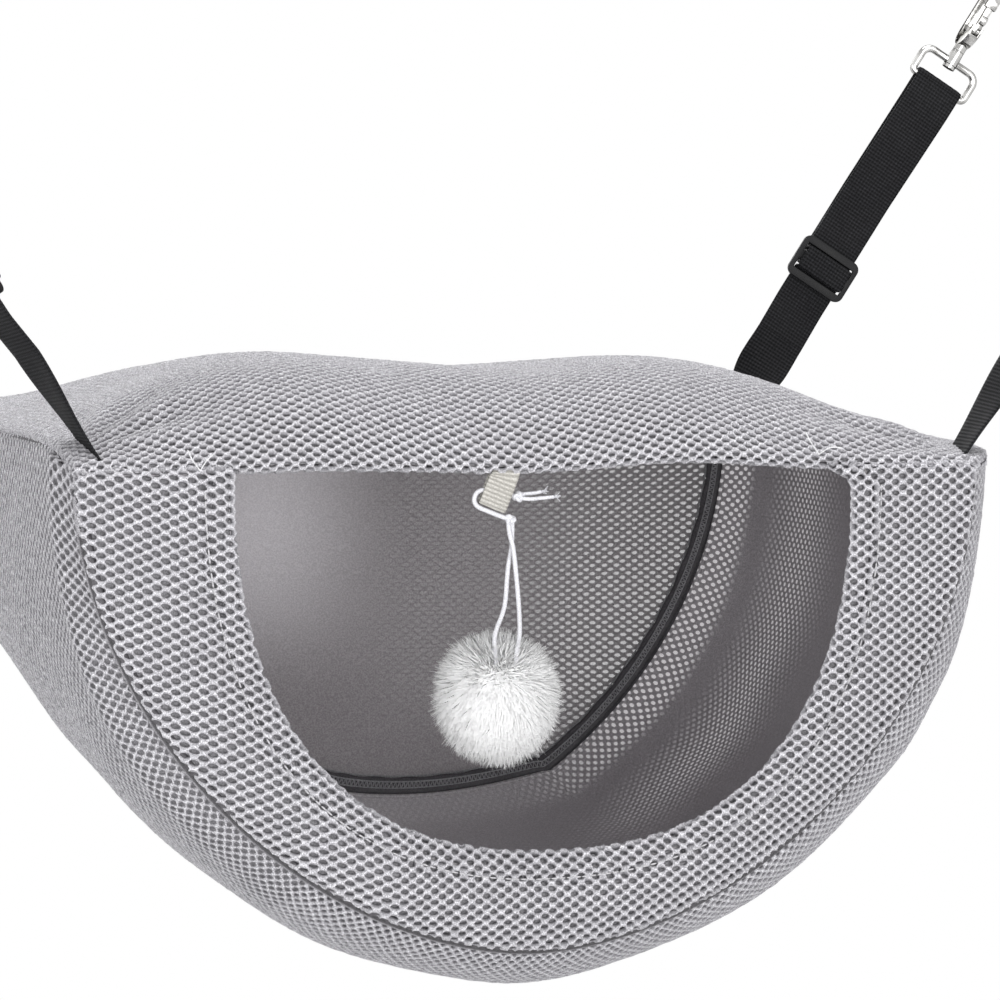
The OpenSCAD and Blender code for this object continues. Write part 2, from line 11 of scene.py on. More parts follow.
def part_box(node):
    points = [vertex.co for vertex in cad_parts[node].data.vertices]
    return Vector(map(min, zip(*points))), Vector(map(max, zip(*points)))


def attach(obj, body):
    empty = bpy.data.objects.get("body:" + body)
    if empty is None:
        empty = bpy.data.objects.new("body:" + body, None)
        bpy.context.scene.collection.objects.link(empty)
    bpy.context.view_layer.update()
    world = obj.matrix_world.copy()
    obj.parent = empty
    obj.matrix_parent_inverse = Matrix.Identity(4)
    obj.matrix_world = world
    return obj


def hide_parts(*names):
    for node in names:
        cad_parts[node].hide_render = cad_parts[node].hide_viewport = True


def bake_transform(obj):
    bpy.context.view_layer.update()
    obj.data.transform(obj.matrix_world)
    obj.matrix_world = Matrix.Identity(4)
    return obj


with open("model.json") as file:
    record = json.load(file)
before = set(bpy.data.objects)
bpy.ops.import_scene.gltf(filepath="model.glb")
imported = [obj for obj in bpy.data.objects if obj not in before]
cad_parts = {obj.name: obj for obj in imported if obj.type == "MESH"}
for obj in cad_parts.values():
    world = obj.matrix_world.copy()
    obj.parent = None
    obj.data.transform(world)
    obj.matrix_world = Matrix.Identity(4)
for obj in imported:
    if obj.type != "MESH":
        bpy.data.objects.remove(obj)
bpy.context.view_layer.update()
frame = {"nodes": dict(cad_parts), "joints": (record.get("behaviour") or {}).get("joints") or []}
scene = bpy.context.scene
scene.view_settings.view_transform = "Standard"
joints = {joint["name"]: joint for joint in frame["joints"]}

# Shapes are worked out in millimetres and become metres when a mesh is made
MM = 0.001

# Pouch
HALF_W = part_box("front_panel")[1].x / MM
HALF_D = 200.0
Z_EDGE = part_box("front_panel")[1].z / MM
Z_TOP = Z_EDGE + 4.3
PANEL_DROP = 207.7
SEAM_POWER = 1.84
END_Y = 195.7
MESH_T = 4.0
KNIT_T = 0.8
PANEL_PUFF = 8.0
RIGHT_PUFF = 33.0
LEFT_PUFF = 22.0
BOTTOM_PUFF = 21.0
TOP_RISE = 48.0
TOP_DIP = 11.5
TOP_TILT = 9.5
LEFT_RISE = 11.0
RIGHT_RISE = 2.0
LEFT_SPREAD = 4.0
RIGHT_SPREAD = 19.0
BACK_LIFT = 42.0
BACK_INSET = 22.0
MOUTH_W = 274.0
MOUTH_H = 166.0
MOUTH_SHIFT = 6.0
MOUTH_POWER = 2.38
CORNER_R = 11.0
HEM_W = 13.0
HEM_R = 2.4
HEM_RISE = 1.7
HEM_GROOVE = 1.5
TOP_HEM_R = 3.3
SEAM_GAP = 2.6
SEAM_W = 8.0
SEAM_T = 3.4
# Share of a panel's reach that is open cloth, before it turns in to its seam
OPEN_SHARE = 0.985

# Holes of the air mesh
PITCH = 6.5
ROW = 2.4
HOLE_W = 3.8
HOLE_H = 2.3
UNEVEN = 1.2

# Straps: offsets are from the strap's plane, heights from its foot or from the slider's middle bar, and each
# corner has the turn of its foot in degrees. The two layers of the loop part between PART_FROM and PART_TO.
# BOX_ is the sewn box that holds the webbing's end.
STRAP_W = 25.0
STRAP_T = 1.4
RIB = 1.7
WARP = 1.6
SLIDER_UP = 90.0
SLIDER_REACH = 16.0
SLOT_UP = 5.35
OVER_BAR = 3.9
SEWN_UP = 31.0
PART_FROM = 133.0
PART_TO = 185.0
ANCHOR_L = 50.0
FOOT_ROOT = 7.0
RING_UP = 197.0
BEND_R = 2.7
RUN_OFF = -2.2
END_OFF = -5.6
BOX_UP = (17.0, 27.0)
BOX_HALF_W = 10.5
BOX_OFF = -6.4
GROW_FROM = 125.0
GROW_TO = 190.0
CORNERS = {"front_left": 75.0, "front_right": 105.0, "back_left": 180.0, "back_right": 180.0}

# Toy, which is measured from the top of its tab and draws the top panel in at PULL_X
CORD_D = 2.0
KNOT_CORD_R = 0.95
TOY = np.array(joints["toy_sway"]["pos_m"]) / MM - np.array([2.0, 0.0, -21.0])
PULL_X = -11.0


# Camera at the photograph's viewing angle
def add_camera():
    ahead = Vector((0.24422, 0.96841, -0.05047)).normalized()
    aim = Vector((0.0355, 0.0, 0.2046))
    distance = 3.1856
    data = bpy.data.cameras.new("photo_camera")
    data.sensor_width = 36.0
    data.lens = 250.2
    data.clip_end = 60.0
    camera = add_object("photo_camera", data)
    camera.location = aim - distance * ahead
    camera.rotation_euler = ahead.to_track_quat("-Z", "Y").to_euler()
    scene.camera = camera


# Helpers for numbers and meshes
def unit(v):
    return v / np.maximum(np.linalg.norm(v, axis=-1, keepdims=True), 1e-9)


def bundle(*values):
    """Coordinates side by side, broadcast to one shape."""
    return np.stack(np.broadcast_arrays(*values), -1)


def smooth_step(v, low, high):
    x = np.clip((v - low) / (high - low), 0, 1)
    return x * x * (3 - 2 * x)


def bell(v, centre, width):
    return np.exp(-((v - centre) / width) ** 2)


def smooth_route(points, steps):
    p = np.array(points, float)
    p = np.vstack([2 * p[0] - p[1], p, 2 * p[-1] - p[-2]])
    made = []
    for a, b, c, d in zip(p, p[1:], p[2:], p[3:]):
        for k in range(steps):
            f = k / steps
            made.append(0.5 * (2 * b + (c - a) * f + (2 * a - 5 * b + 4 * c - d) * f * f
                               + (3 * b - a - 3 * c + d) * f ** 3))
    made.append(p[-2])
    return np.array(made)


def steps_along(points):
    return np.linalg.norm(np.diff(points, axis=0), axis=1)


def evenly(points, step):
    along = np.concatenate([[0], np.cumsum(steps_along(points))])
    at = np.linspace(0, along[-1], max(2, int(round(along[-1] / step)) + 1))
    return bundle(*[np.interp(at, along, values) for values in points.T]), at


def add_object(name, data):
    made = bpy.data.objects.new(name, data)
    scene.collection.objects.link(made)
    return made


def mesh_piece(name, points, faces, material=None, edges=(), **attributes):
    mesh = bpy.data.meshes.new(name)
    mesh.from_pydata((np.asarray(points, float) * MM).tolist(), list(edges), faces)
    for key, values in attributes.items():
        layer = mesh.attributes.new(key, "FLOAT_VECTOR", "POINT")
        layer.data.foreach_set("vector", np.asarray(values, float).ravel())
    mesh.polygons.foreach_set("use_smooth", [True] * len(mesh.polygons))
    if material:
        mesh.materials.append(material)
    return add_object(name, mesh)


def line_piece(name, runs):
    edges = []
    first = 0
    for run in runs:
        edges += [(first + k, first + k + 1) for k in range(len(run) - 1)]
        first += len(run)
    return mesh_piece(name, np.vstack(runs), [], edges=edges)


def tube_faces(count, sides, closed=False):
    faces = []
    for k in range(count if closed else count - 1):
        a, b = k * sides, (k + 1) % count * sides
        faces += [(a + j, a + (j + 1) % sides, b + (j + 1) % sides, b + j) for j in range(sides)]
    if not closed:
        faces += [tuple(reversed(range(sides))), tuple(range((count - 1) * sides, count * sides))]
    return faces


def tube(points, radius, sides, closed=False):
    ahead = np.roll(points, -1, 0) - np.roll(points, 1, 0) if closed else np.gradient(points, axis=0)
    ahead = unit(ahead)
    side = np.cross(ahead[0], [0.31, 0.27, 0.91])
    turn = np.linspace(0, 2 * np.pi, sides, endpoint=False)[:, None]
    rings = []
    for place, way, r in zip(points, ahead, np.broadcast_to(radius, len(points))):
        side = unit(side - way * np.dot(side, way))
        rings.append(place + r * (np.cos(turn) * side + np.sin(turn) * np.cross(way, side)))
    return np.vstack(rings), tube_faces(len(points), sides, closed)


def joined(parts):
    points, faces = [], []
    first = 0
    for some_points, some_faces in parts:
        points.append(some_points)
        faces += [tuple(first + k for k in face) for face in some_faces]
        first += len(some_points)
    return np.vstack(points), faces


def fix_normals(piece):
    made = bmesh.new()
    made.from_mesh(piece.data)
    bmesh.ops.recalc_face_normals(made, faces=made.faces)
    made.to_mesh(piece.data)
    made.free()


def keep_result(piece, modifier):
    """Keeps what a modifier makes as the piece's plain mesh."""
    seen = piece.evaluated_get(bpy.context.evaluated_depsgraph_get())
    mesh = bpy.data.meshes.new_from_object(seen)
    piece.modifiers.remove(modifier)
    old = piece.data
    piece.data = mesh
    bpy.data.meshes.remove(old)
    mesh.name = piece.name


def dress(piece, body, slot, *nodes):
    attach(piece, body)
    if nodes:
        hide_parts(*nodes)
    return piece


# Building node trees
class Wire:
    """A socket of the tree that was opened last; arithmetic on it adds the nodes that work it out."""
    tree = None

    def __init__(self, socket):
        self.socket = socket


for sign, operation in (("add", "ADD"), ("sub", "SUBTRACT"), ("mul", "MULTIPLY"), ("truediv", "DIVIDE"),
                        ("pow", "POWER"), ("mod", "FLOORED_MODULO")):
    setattr(Wire, "__%s__" % sign, lambda a, b, word=operation: calc(word, a, b))
    setattr(Wire, "__r%s__" % sign, lambda a, b, word=operation: calc(word, b, a))


def put(kind, inputs=(), out=0, **more):
    """Adds a node. Names that start with a capital are its sockets, and the others its settings."""
    kinds = [prefix + kind for prefix in ("GeometryNode", "ShaderNode", "FunctionNode", "")]
    node = Wire.tree.nodes.new(next(name for name in kinds if hasattr(bpy.types, name)))
    inputs = dict(inputs)
    for key, value in more.items():
        if key[0].isupper():
            inputs[key.replace("_", " ")] = value
        else:
            setattr(node, key, value)
    for key, value in inputs.items():
        if isinstance(value, Wire):
            link(value, node.inputs[key])
        else:
            node.inputs[key].default_value = value
    return node if out is None else Wire(node.outputs[out])


def calc(operation, *values):
    """Adds a math node, or a vector one where the first value is a vector."""
    first = values[0]
    if not isinstance(first, Wire) or first.socket.type not in ("VECTOR", "RGBA"):
        return put("Math", enumerate(values), operation=operation)
    if operation == "MULTIPLY":
        return put("VectorMath", {0: first, "Scale": values[1]}, operation="SCALE")
    return put("VectorMath", enumerate(values), operation=operation)


def link(wire, socket):
    Wire.tree.links.new(wire.socket, socket)


def outlets(node):
    return {socket.name: Wire(socket) for socket in node.outputs}


def xyz(x, y, z=0.0):
    return put("CombineXYZ", {0: x, 1: y, 2: z})


def split(vector):
    return outlets(put("SeparateXYZ", {0: vector}, None)).values()


def length_of(vector):
    return put("VectorMath", {0: vector}, "Value", operation="LENGTH")


def attribute(name, data_type="FLOAT_VECTOR"):
    return put("InputNamedAttribute", Name=name, data_type=data_type)


def open_group(name, kind, inputs, outputs):
    """New node group, from the types of its sockets by name."""
    Wire.tree = bpy.data.node_groups.new(name, kind)
    for side, sockets in (("INPUT", inputs), ("OUTPUT", outputs)):
        for socket, sort in sockets.items():
            Wire.tree.interface.new_socket(socket, in_out=side, socket_type="NodeSocket" + sort)
    return outlets(put("NodeGroupInput", out=None))


def close_group(**wires):
    put("NodeGroupOutput", out=None, **wires)
    return Wire.tree


def open_shape(name, numbers, counts=(), vectors=()):
    inputs = {"Geometry": "Geometry", "Material": "Material"}
    for sort, names in (("Float", numbers), ("Int", counts), ("Vector", vectors)):
        inputs.update(dict.fromkeys(names, sort))
    return open_group(name, "GeometryNodeTree", inputs, {"Geometry": "Geometry"})


def close_shape(given, geometry):
    geometry = put("RealizeInstances", Geometry=geometry)
    geometry = put("SetShadeSmooth", Geometry=geometry)
    return close_group(Geometry=put("SetMaterial", Geometry=geometry, Material=given["Material"]))


def grow(piece, tree, material, **sizes):
    """Runs a shape tree on a piece and keeps the result as its plain mesh."""
    sizes = {key.replace("_", " ").title(): value for key, value in sizes.items()}
    sizes["Material"] = material
    modifier = piece.modifiers.new(tree.name, "NODES")
    modifier.node_group = tree
    for item in tree.interface.items_tree:
        if item.in_out == "INPUT" and item.name in sizes:
            modifier[item.identifier] = sizes[item.name]
    keep_result(piece, modifier)
    return piece


def sew(name, runs, tree, material, body="pouch", slot="seam", **sizes):
    """Thread or stitches along runs of points."""
    return dress(grow(line_piece(name, runs), tree, material, **sizes), body, slot)


# Shape trees
def pierced_cloth_tree():
    """Net of threads round staggered holes, laid on a sheet by the sheet's cloth coordinates."""
    given = open_shape(
        "pierced_cloth", ("Pitch", "Row", "Hole Width", "Hole Height", "Thread Rise", "Depth"),
        ("First Column", "First Row", "Columns", "Rows", "Sides"))
    position = put("InputPosition")
    x, y, z = split(position)
    grid = put("MeshGrid", Size_X=1.0, Size_Y=1.0, Vertices_X=given["Columns"], Vertices_Y=given["Rows"])
    column = calc("ROUND", (x + 0.5) * (given["Columns"] - 1.0)) + given["First Column"]
    row = calc("ROUND", (y + 0.5) * (given["Rows"] - 1.0)) + given["First Row"]
    stagger = column % 2.0 * 0.5
    places = put("SetPosition", Geometry=grid, Position=xyz(
        column * (given["Pitch"] * 0.5), (stagger + row) * (given["Row"] * 2.0)))
    cell = put("MeshCylinder", Vertices=given["Sides"], Side_Segments=2, Radius=1.0, Depth=2.0, fill_type="NONE")
    ring = calc("ROUND", z + 1.0)
    # Ring share from the hole's border down to its foot, which the thread finish paints as shade down the hole
    # walls
    cell = put("StoreNamedAttribute", Geometry=cell, Name="hole_depth", Value=ring * 0.5, domain="POINT")
    bent = calc("ARCTAN2", y, x) % (math.pi / 3) - math.pi / 6
    hexagon = math.cos(math.pi / 6) / calc("COSINE", bent)
    border = xyz(hexagon * (given["Pitch"] / 3.0), hexagon * (given["Row"] / math.sin(math.pi / 3)),
                 given["Thread Rise"])
    hole_x, hole_y = given["Hole Width"] * 0.5, given["Hole Height"] * 0.55
    foot = xyz(hole_x * 0.92, hole_y * 0.92, given["Depth"] * -1.0)
    choose = put("IndexSwitch", out=None, data_type="VECTOR")
    choose.index_switch_items.new()
    for socket, wire in zip(choose.inputs, (ring, border, xyz(hole_x, hole_y), foot)):
        link(wire, socket)
    size_x, size_y, size_z = split(Wire(choose.outputs[0]))
    cell = put("SetPosition", Geometry=cell, Position=xyz(x * size_x, y * size_y, size_z))
    net = put("InstanceOnPoints", Points=places, Instance=cell)
    net = put("RealizeInstances", Geometry=net)
    net = put("MergeByDistance", Geometry=net, Distance=0.00004)
    noise = put("TexNoise", out="Color", Vector=position, Scale=260.0, Detail=2.0)
    net = put("SetPosition", Geometry=net, Offset=(noise - (0.5, 0.5, 0.5)) * (UNEVEN * MM))

    def on_sheet(wire):
        return outlets(put("SampleUVSurface", out=None, Mesh=given["Geometry"], Value=wire,
                           UV_Map=attribute("cloth"), Sample_UV=xyz(x, y), data_type="FLOAT_VECTOR"))

    place = on_sheet(position)
    rise = on_sheet(attribute("outward"))["Value"] * z
    missed = put("BooleanMath", {0: place["Is Valid"]}, operation="NOT")
    net = put("StoreNamedAttribute", Geometry=net, Name="off_sheet", Value=missed, data_type="BOOLEAN",
              domain="POINT")
    net = put("SetPosition", Geometry=net, Position=place["Value"] + rise)
    net = put("DeleteGeometry", Geometry=net, Selection=attribute("off_sheet", "BOOLEAN"), domain="POINT")
    return close_shape(given, net)


def thread_tree():
    """Round thread along lines."""
    given = open_shape("thread", ("Radius", "Step"), ("Sides",))
    line = put("MeshToCurve", Mesh=given["Geometry"])
    line = put("CurveSplineType", Curve=line, spline_type="CATMULL_ROM")
    line = put("ResampleCurve", Curve=line, Length=given["Step"], mode="LENGTH")
    ring = put("CurvePrimitiveCircle", Resolution=given["Sides"], Radius=given["Radius"])
    made = put("CurveToMesh", Curve=line, Profile_Curve=ring, Fill_Caps=True)
    return close_shape(given, made)


def stitch_tree():
    """Row of stitches along lines."""
    given = open_shape("stitches", ("Pitch", "Length", "Thickness"))
    line = put("MeshToCurve", Mesh=given["Geometry"])
    line = put("ResampleCurve", Curve=line, Length=given["Pitch"], mode="LENGTH")
    bead = put("MeshUVSphere", Segments=6, Rings=5, Radius=0.5)
    bead = put("Transform", Geometry=bead, Scale=xyz(given["Thickness"], given["Thickness"], given["Length"]))
    turn = put("AlignRotationToVector", Vector=put("InputTangent"), axis="Z")
    made = put("InstanceOnPoints", Points=line, Instance=bead, Rotation=turn)
    return close_shape(given, made)


def rib_tree():
    """Raises crosswise ribs on a woven band, from its cloth coordinates."""
    given = open_shape("woven_ribs", ("Rib", "Height", "Warp"))
    across, along, share = split(attribute("cloth"))
    lane = calc("FLOOR", across / given["Warp"]) % 2.0
    wave = calc("COSINE", (lane * 0.16 + along / given["Rib"]) * (2 * math.pi))
    offset = attribute("outward") * (wave * given["Height"] * share)
    made = put("SetPosition", Geometry=given["Geometry"], Offset=offset)
    return close_shape(given, made)


def fur_tree():
    """Tufted fur on a round core."""
    given = open_shape("fur", ("Core", "Strand", "Width", "Tuft", "Comb"), ("Count", "Seed"),
                       ("Centre", "Parting"))
    parting, strand, seed = given["Parting"], given["Strand"], given["Seed"]
    core = put("MeshIcoSphere", Radius=given["Core"], Subdivisions=4)
    area = given["Core"] ** 2.0 * (4 * math.pi)
    density = given["Count"] / area
    roots = outlets(put("DistributePointsOnFaces", out=None, Mesh=core, Density=density, Seed=seed))
    position = put("InputPosition")
    x, y, _ = split(position)
    along = y + 0.5
    taper = 1.0 - along ** 2.0 * 0.85
    blade = put("MeshGrid", Size_X=1.0, Size_Y=1.0, Vertices_X=2, Vertices_Y=3)
    blade = put("SetPosition", Geometry=blade, Position=xyz(x * taper * given["Width"], 0.0, along * strand))
    blade = put("FlipFaces", Mesh=blade)

    def chance(most, later):
        return put("RandomValue", Min=(-most,) * 3, Max=(most,) * 3, Seed=seed + later, data_type="FLOAT_VECTOR")

    normal = roots["Normal"]
    near = put("VectorMath", {0: normal, 1: parting}, "Value", operation="DOT_PRODUCT")
    away = (normal * near - parting) * given["Comb"]
    lie = normal * (1.0 - given["Comb"]) + away + chance(0.3, 0.0)
    turn = put("AxesToRotation", {0: lie, 1: normal + chance(0.5, 1.0)}, primary_axis="Z", secondary_axis="Y")
    size = put("RandomValue", {2: 0.72, 3: 1.0}, 1, Seed=seed + 2.0, data_type="FLOAT")
    fur = put("InstanceOnPoints", Points=roots["Points"], Instance=blade, Rotation=turn,
              Scale=xyz(1.0, 1.0, size))
    fur = put("RealizeInstances", Geometry=fur)
    share = (length_of(position) - given["Core"]) / strand
    pull = calc("MAXIMUM", share, 0.0) ** 1.5 * given["Tuft"]
    noise = put("TexNoise", out="Color", Vector=position, Scale=130.0, Detail=2.0)
    fur = put("SetPosition", Geometry=fur, Offset=(noise - (0.5, 0.5, 0.5)) * (pull * strand))
    both = put("JoinGeometry", out=None)
    for part in (core, fur):
        link(part, both.inputs[0])
    moved = put("Transform", Geometry=Wire(both.outputs[0]), Translation=given["Centre"])
    return close_shape(given, moved)


# Shared effects of the finishes
def fibre_group():
    """Light flecks and a fine height from many small fibres."""
    given = open_group("fibres", "ShaderNodeTree", {"Vector": "Vector", "Scale": "Float", "Cloud": "Float"},
                       {"Fleck": "Float", "Cloud": "Float", "Height": "Float"})
    fine = put("TexNoise", Vector=given["Vector"], Scale=given["Scale"], Detail=3.0, Roughness=0.65)
    wide = put("TexNoise", Vector=given["Vector"], Scale=given["Cloud"], Detail=3.0)
    fleck = put("MapRange", Value=fine, From_Min=0.4, From_Max=0.62)
    cloud = put("MapRange", Value=wide, From_Min=0.3, From_Max=0.7)
    return close_group(Fleck=fleck, Cloud=cloud, Height=fine)


def dots_group():
    """Mask of staggered dots on cloth coordinates."""
    given = open_group("staggered_dots", "ShaderNodeTree", {
        "Vector": "Vector", **dict.fromkeys(("Pitch", "Row", "Width", "Height"), "Float")}, {"Mask": "Float"})
    x, y, _ = split(given["Vector"])
    lanes = ((x, given["Pitch"], given["Width"]), (y, given["Row"] * 2.0, given["Height"]))
    near = []
    for shift in (0.5, 1.0):
        squares = []
        for at, period, size in lanes:
            off = (calc("FRACT", at / period + shift) - 0.5) * period
            squares.append((off / size) ** 2.0)
        near.append(calc("SQRT", squares[0] + squares[1]))
    mask = put("MapRange", Value=calc("MINIMUM", *near), From_Min=0.62, From_Max=0.36,
               interpolation_type="SMOOTHSTEP")
    return close_group(Mask=mask)


# Finishes
def new_finish(name, scale, cloud, **values):
    """New material with fibres to build on; values set the sockets of its shader."""
    material = bpy.data.materials.new(name)
    material.use_nodes = True
    Wire.tree = material.node_tree
    for key, value in values.items():
        Wire.tree.nodes["Principled BSDF"].inputs[key.replace("_", " ")].default_value = value
    fibres = put("ShaderNodeGroup", out=None, Vector=put("TexCoord", out="Object"),
                 Scale=scale, Cloud=cloud, node_tree=FIBRES)
    return material, outlets(fibres)


def finished(material, colour, rough, height, strength, distance, **more):
    """Wires a finish up with its colour, roughness and fine relief, and with more sockets by name."""
    relief = put("Bump", Height=height, Strength=strength, Distance=distance)
    for key, wire in {"Base_Color": colour, "Roughness": rough, "Normal": relief, **more}.items():
        link(wire, Wire.tree.nodes["Principled BSDF"].inputs[key.replace("_", " ")])
    return material


def blend(share, low, high):
    low, high = (colour if isinstance(colour, Wire) else (*colour, 1.0) for colour in (low, high))
    return put("Mix", {0: share, 6: low, 7: high}, 2, data_type="RGBA")


def laid_on(name):
    return put("Attribute", out="Vector", attribute_name=name)


def fibrous_finish(name, low, high, scale, cloud=40.0, strength=0.5, distance=0.0004, rough=0.75, **values):
    material, fibre = new_finish(name, scale, cloud, **values)
    colour = blend(fibre["Fleck"] * 0.8 + fibre["Cloud"] * 0.2, low, high)
    return finished(material, colour, fibre["Cloud"] * -0.12 + rough, fibre["Height"], strength, distance)


def mesh_thread_finish():
    """Fleecy grey threads of the air mesh, with painted shade darker down the walls of its holes."""
    material, fibre = new_finish("grey_mesh_thread", 1500.0, 30.0)
    # Painted shade: the thread darkens down the walls of each hole, towards its foot
    depth = put("Attribute", out="Fac", attribute_name="hole_depth") ** 0.9
    # Light flecks: partly the yarn's mottled tone and partly painted glints on the threads
    thread = blend(fibre["Fleck"], (0.31, 0.303, 0.328), (0.9, 0.89, 0.93))
    thread = blend(fibre["Cloud"] * 0.25, thread, (0.48, 0.47, 0.5))
    colour = blend(depth, thread, (0.15, 0.146, 0.158))
    return finished(material, colour, fibre["Fleck"] * -0.2 + 0.7, fibre["Height"], 0.9, 0.0008)


def knit_finish(name, dot, clear, dot_glow, cloth_glow):
    """Inner face of the air mesh: dark knit, with painted light as lit dots where light comes through the holes
    and as a pale glow, and painted shade on its outer face.
    """
    material, fibre = new_finish(name, 1300.0, 25.0, Emission_Strength=1.0)
    fleck = fibre["Fleck"]
    lit, painted_pale_light, outside = split(laid_on("light_through"))
    mask = put("ShaderNodeGroup", Vector=laid_on("cloth"), Pitch=PITCH * MM, Row=ROW * MM,
               Width=dot[0] * MM, Height=dot[1] * MM, node_tree=DOTS)
    share = mask * lit
    ground = blend(fleck, (0.31, 0.29, 0.302), (0.46, 0.435, 0.45))
    # Painted light: the ground turns pale where light through the cloth is painted
    ground = blend(painted_pale_light, ground, blend(fleck, (0.68, 0.655, 0.69), (0.86, 0.835, 0.87)))
    # Painted light: the dots where light comes through the holes take a lit colour
    inner = blend(share, ground, blend(fleck, (0.7, 0.69, 0.7), (0.95, 0.94, 0.95)))
    # Painted shade: the outer face, seen down the net's holes, is darker than the inner face
    colour = blend(outside, inner, blend(fleck, (0.23, 0.225, 0.24), (0.4, 0.391, 0.414)))
    # Painted glow: the lit dots and the pale cloth also give off light of their own, on the inner face only
    glow = (share * dot_glow + painted_pale_light * cloth_glow) * (1.0 - outside)
    more = {"Emission_Color": blend(glow, (0, 0, 0), (1.0, 0.97, 0.99))}
    if clear:
        more["Alpha"] = share * -clear + 1.0
    height = mask * 0.5 + fibre["Height"]
    return finished(material, colour, fibre["Cloud"] * -0.15 + 0.9, height, 0.5, 0.0005, **more)


def woven_finish(name, low, high, rib, warp, rough, **values):
    """Band woven in crosswise ribs, with fine warp threads along it."""
    material, fibre = new_finish(name, 1500.0, 60.0, **values)
    x, y, _ = split(laid_on("cloth"))
    ribs = calc("COSINE", y * (2 * math.pi / (rib * MM)))
    threads = calc("COSINE", x * (2 * math.pi / (warp * MM)))
    weave = ribs * 0.3 + (threads * 0.2 + 0.5)
    colour = blend(weave * (fibre["Fleck"] * 0.6 + 0.4), low, high)
    height = fibre["Height"] * 0.6 + weave
    return finished(material, colour, fibre["Cloud"] * -0.15 + rough, height, 0.5, 0.0003)


def hard_finish(name, low, high, scale, cloud, dulled_by, dulling, rough, strength, **values):
    """Smooth hard surface, clouded by handling; on the nickel the dark clouds are painted reflections."""
    material, fibre = new_finish(name, scale, cloud, **values)
    colour = blend(fibre["Cloud"], low, high)
    return finished(material, colour, fibre[dulled_by] * dulling + rough, fibre["Height"], strength, 0.0002)


FIBRES = fibre_group()
DOTS = dots_group()
mesh_thread = mesh_thread_finish()
# Both knits carry painted light: see-through lit dots and a pale glow on the front, back and top, and glowing
# lit dots on the walls
inner_knit = knit_finish("inner_knit", (4.2, 2.2), 0.6, 0.0, 0.11)
wall_knit = knit_finish("inner_wall_knit", (3.0, 2.0), 0.0, 0.34, 0.0)
seam_cloth = fibrous_finish("dark_overlocked_edge", (0.05, 0.047, 0.052), (0.1, 0.095, 0.104), 1200.0, 60.0)
folded_cloth = fibrous_finish("grey_folded_edge", (0.14, 0.137, 0.148), (0.42, 0.41, 0.435), 1300.0, 60.0)
seam_thread = fibrous_finish("dark_sewing_thread", (0.02, 0.02, 0.021), (0.07, 0.07, 0.073), 1500.0, 80.0)
edge_thread = fibrous_finish("grey_overlock_thread", (0.2, 0.2, 0.21), (0.42, 0.42, 0.44), 1500.0, 80.0)
top_thread = fibrous_finish("grey_sewing_thread", (0.48, 0.48, 0.49), (0.8, 0.8, 0.81), 1500.0, 80.0)
hem_thread = fibrous_finish("hem_thread", (0.34, 0.335, 0.35), (0.6, 0.595, 0.61), 2500.0)
webbing_black = woven_finish("black_webbing", (0.001, 0.001, 0.0012), (0.028, 0.028, 0.031), RIB, WARP, 0.82,
                             Specular_IOR_Level=0.12)
plastic_black = hard_finish("black_moulded_plastic", (0.004, 0.004, 0.0045), (0.009, 0.009, 0.01), 1800.0,
                            90.0, "Cloud", 0.14, 0.46, 0.12, Specular_IOR_Level=0.2)
# Nickel tone clouds from dark to bright: its dark patches are painted reflections
nickel = hard_finish("bright_nickel", (0.3, 0.296, 0.288), (0.74, 0.735, 0.72), 600.0, 160.0,
                     "Fleck", 0.08, 0.14, 0.08, Metallic=1.0, Specular_Tint=(0.0, 0.0, 0.0, 1.0))
ribbon_cream = woven_finish("cream_ribbon", (0.22, 0.21, 0.19), (0.68, 0.662, 0.62), 1.8, 0.6, 0.7)
elastic_white = fibrous_finish("white_elastic", (0.5, 0.5, 0.53), (0.72, 0.72, 0.75), 1600.0, 200.0, 0.6)
fur_white = fibrous_finish("white_fur", (0.9, 0.9, 0.905), (0.98, 0.98, 0.98), 500.0, 60.0, 0.1, 0.0002, 0.8,
                           Sheen_Weight=0.4)

PIERCED = pierced_cloth_tree()
THREAD = thread_tree()
STITCH = stitch_tree()
RIBS = rib_tree()
FUR = fur_tree()


# Lines and faces of the pouch, with angles in radians
def puff(s, power):
    return 1 - np.abs(s) ** power


def curve(v, power):
    return np.sign(v) * np.abs(v) ** (2 / power)


def seam_line(t, s):
    sine = np.maximum(np.sin(t), 0)
    back = ((1 + s) / 2) ** 2
    lift_from = math.radians(55)
    lifted = np.maximum(t - lift_from, 0) / (math.pi - lift_from)
    x = HALF_W * curve(np.cos(t), SEAM_POWER) + BACK_INSET * back * np.maximum(-np.cos(t), 0) * sine
    z = Z_EDGE - PANEL_DROP * curve(sine, SEAM_POWER)
    return x, z + BACK_LIFT * back * np.maximum(np.sin(math.pi * lifted), 0) ** 0.8


def seam_out(t):
    x, z = PANEL_DROP * np.cos(t), -HALF_W * np.sin(t)
    size = np.hypot(x, z)
    return x / size, z / size


def gusset_point(t, s):
    x, z = seam_line(t, s)
    out_x, out_z = seam_out(t)
    right = t < math.pi / 2
    side = np.where(right, RIGHT_PUFF, LEFT_PUFF)
    spread = np.where(right, RIGHT_SPREAD, LEFT_SPREAD)
    rise = np.where(right, RIGHT_RISE, LEFT_RISE)
    edge = np.abs(np.cos(t)) ** 12
    f = puff(s, 8)
    round_out = side * np.cos(t) ** 2 + BOTTOM_PUFF * np.sin(t) ** 2
    swell = f * (round_out * (1 - edge) + spread * edge)
    return bundle(x + swell * out_x, s * END_Y, z + swell * out_z + f * rise * edge)


def top_lift(s):
    return puff(s, 4.5) * (1 - 0.3 * (1 + s))


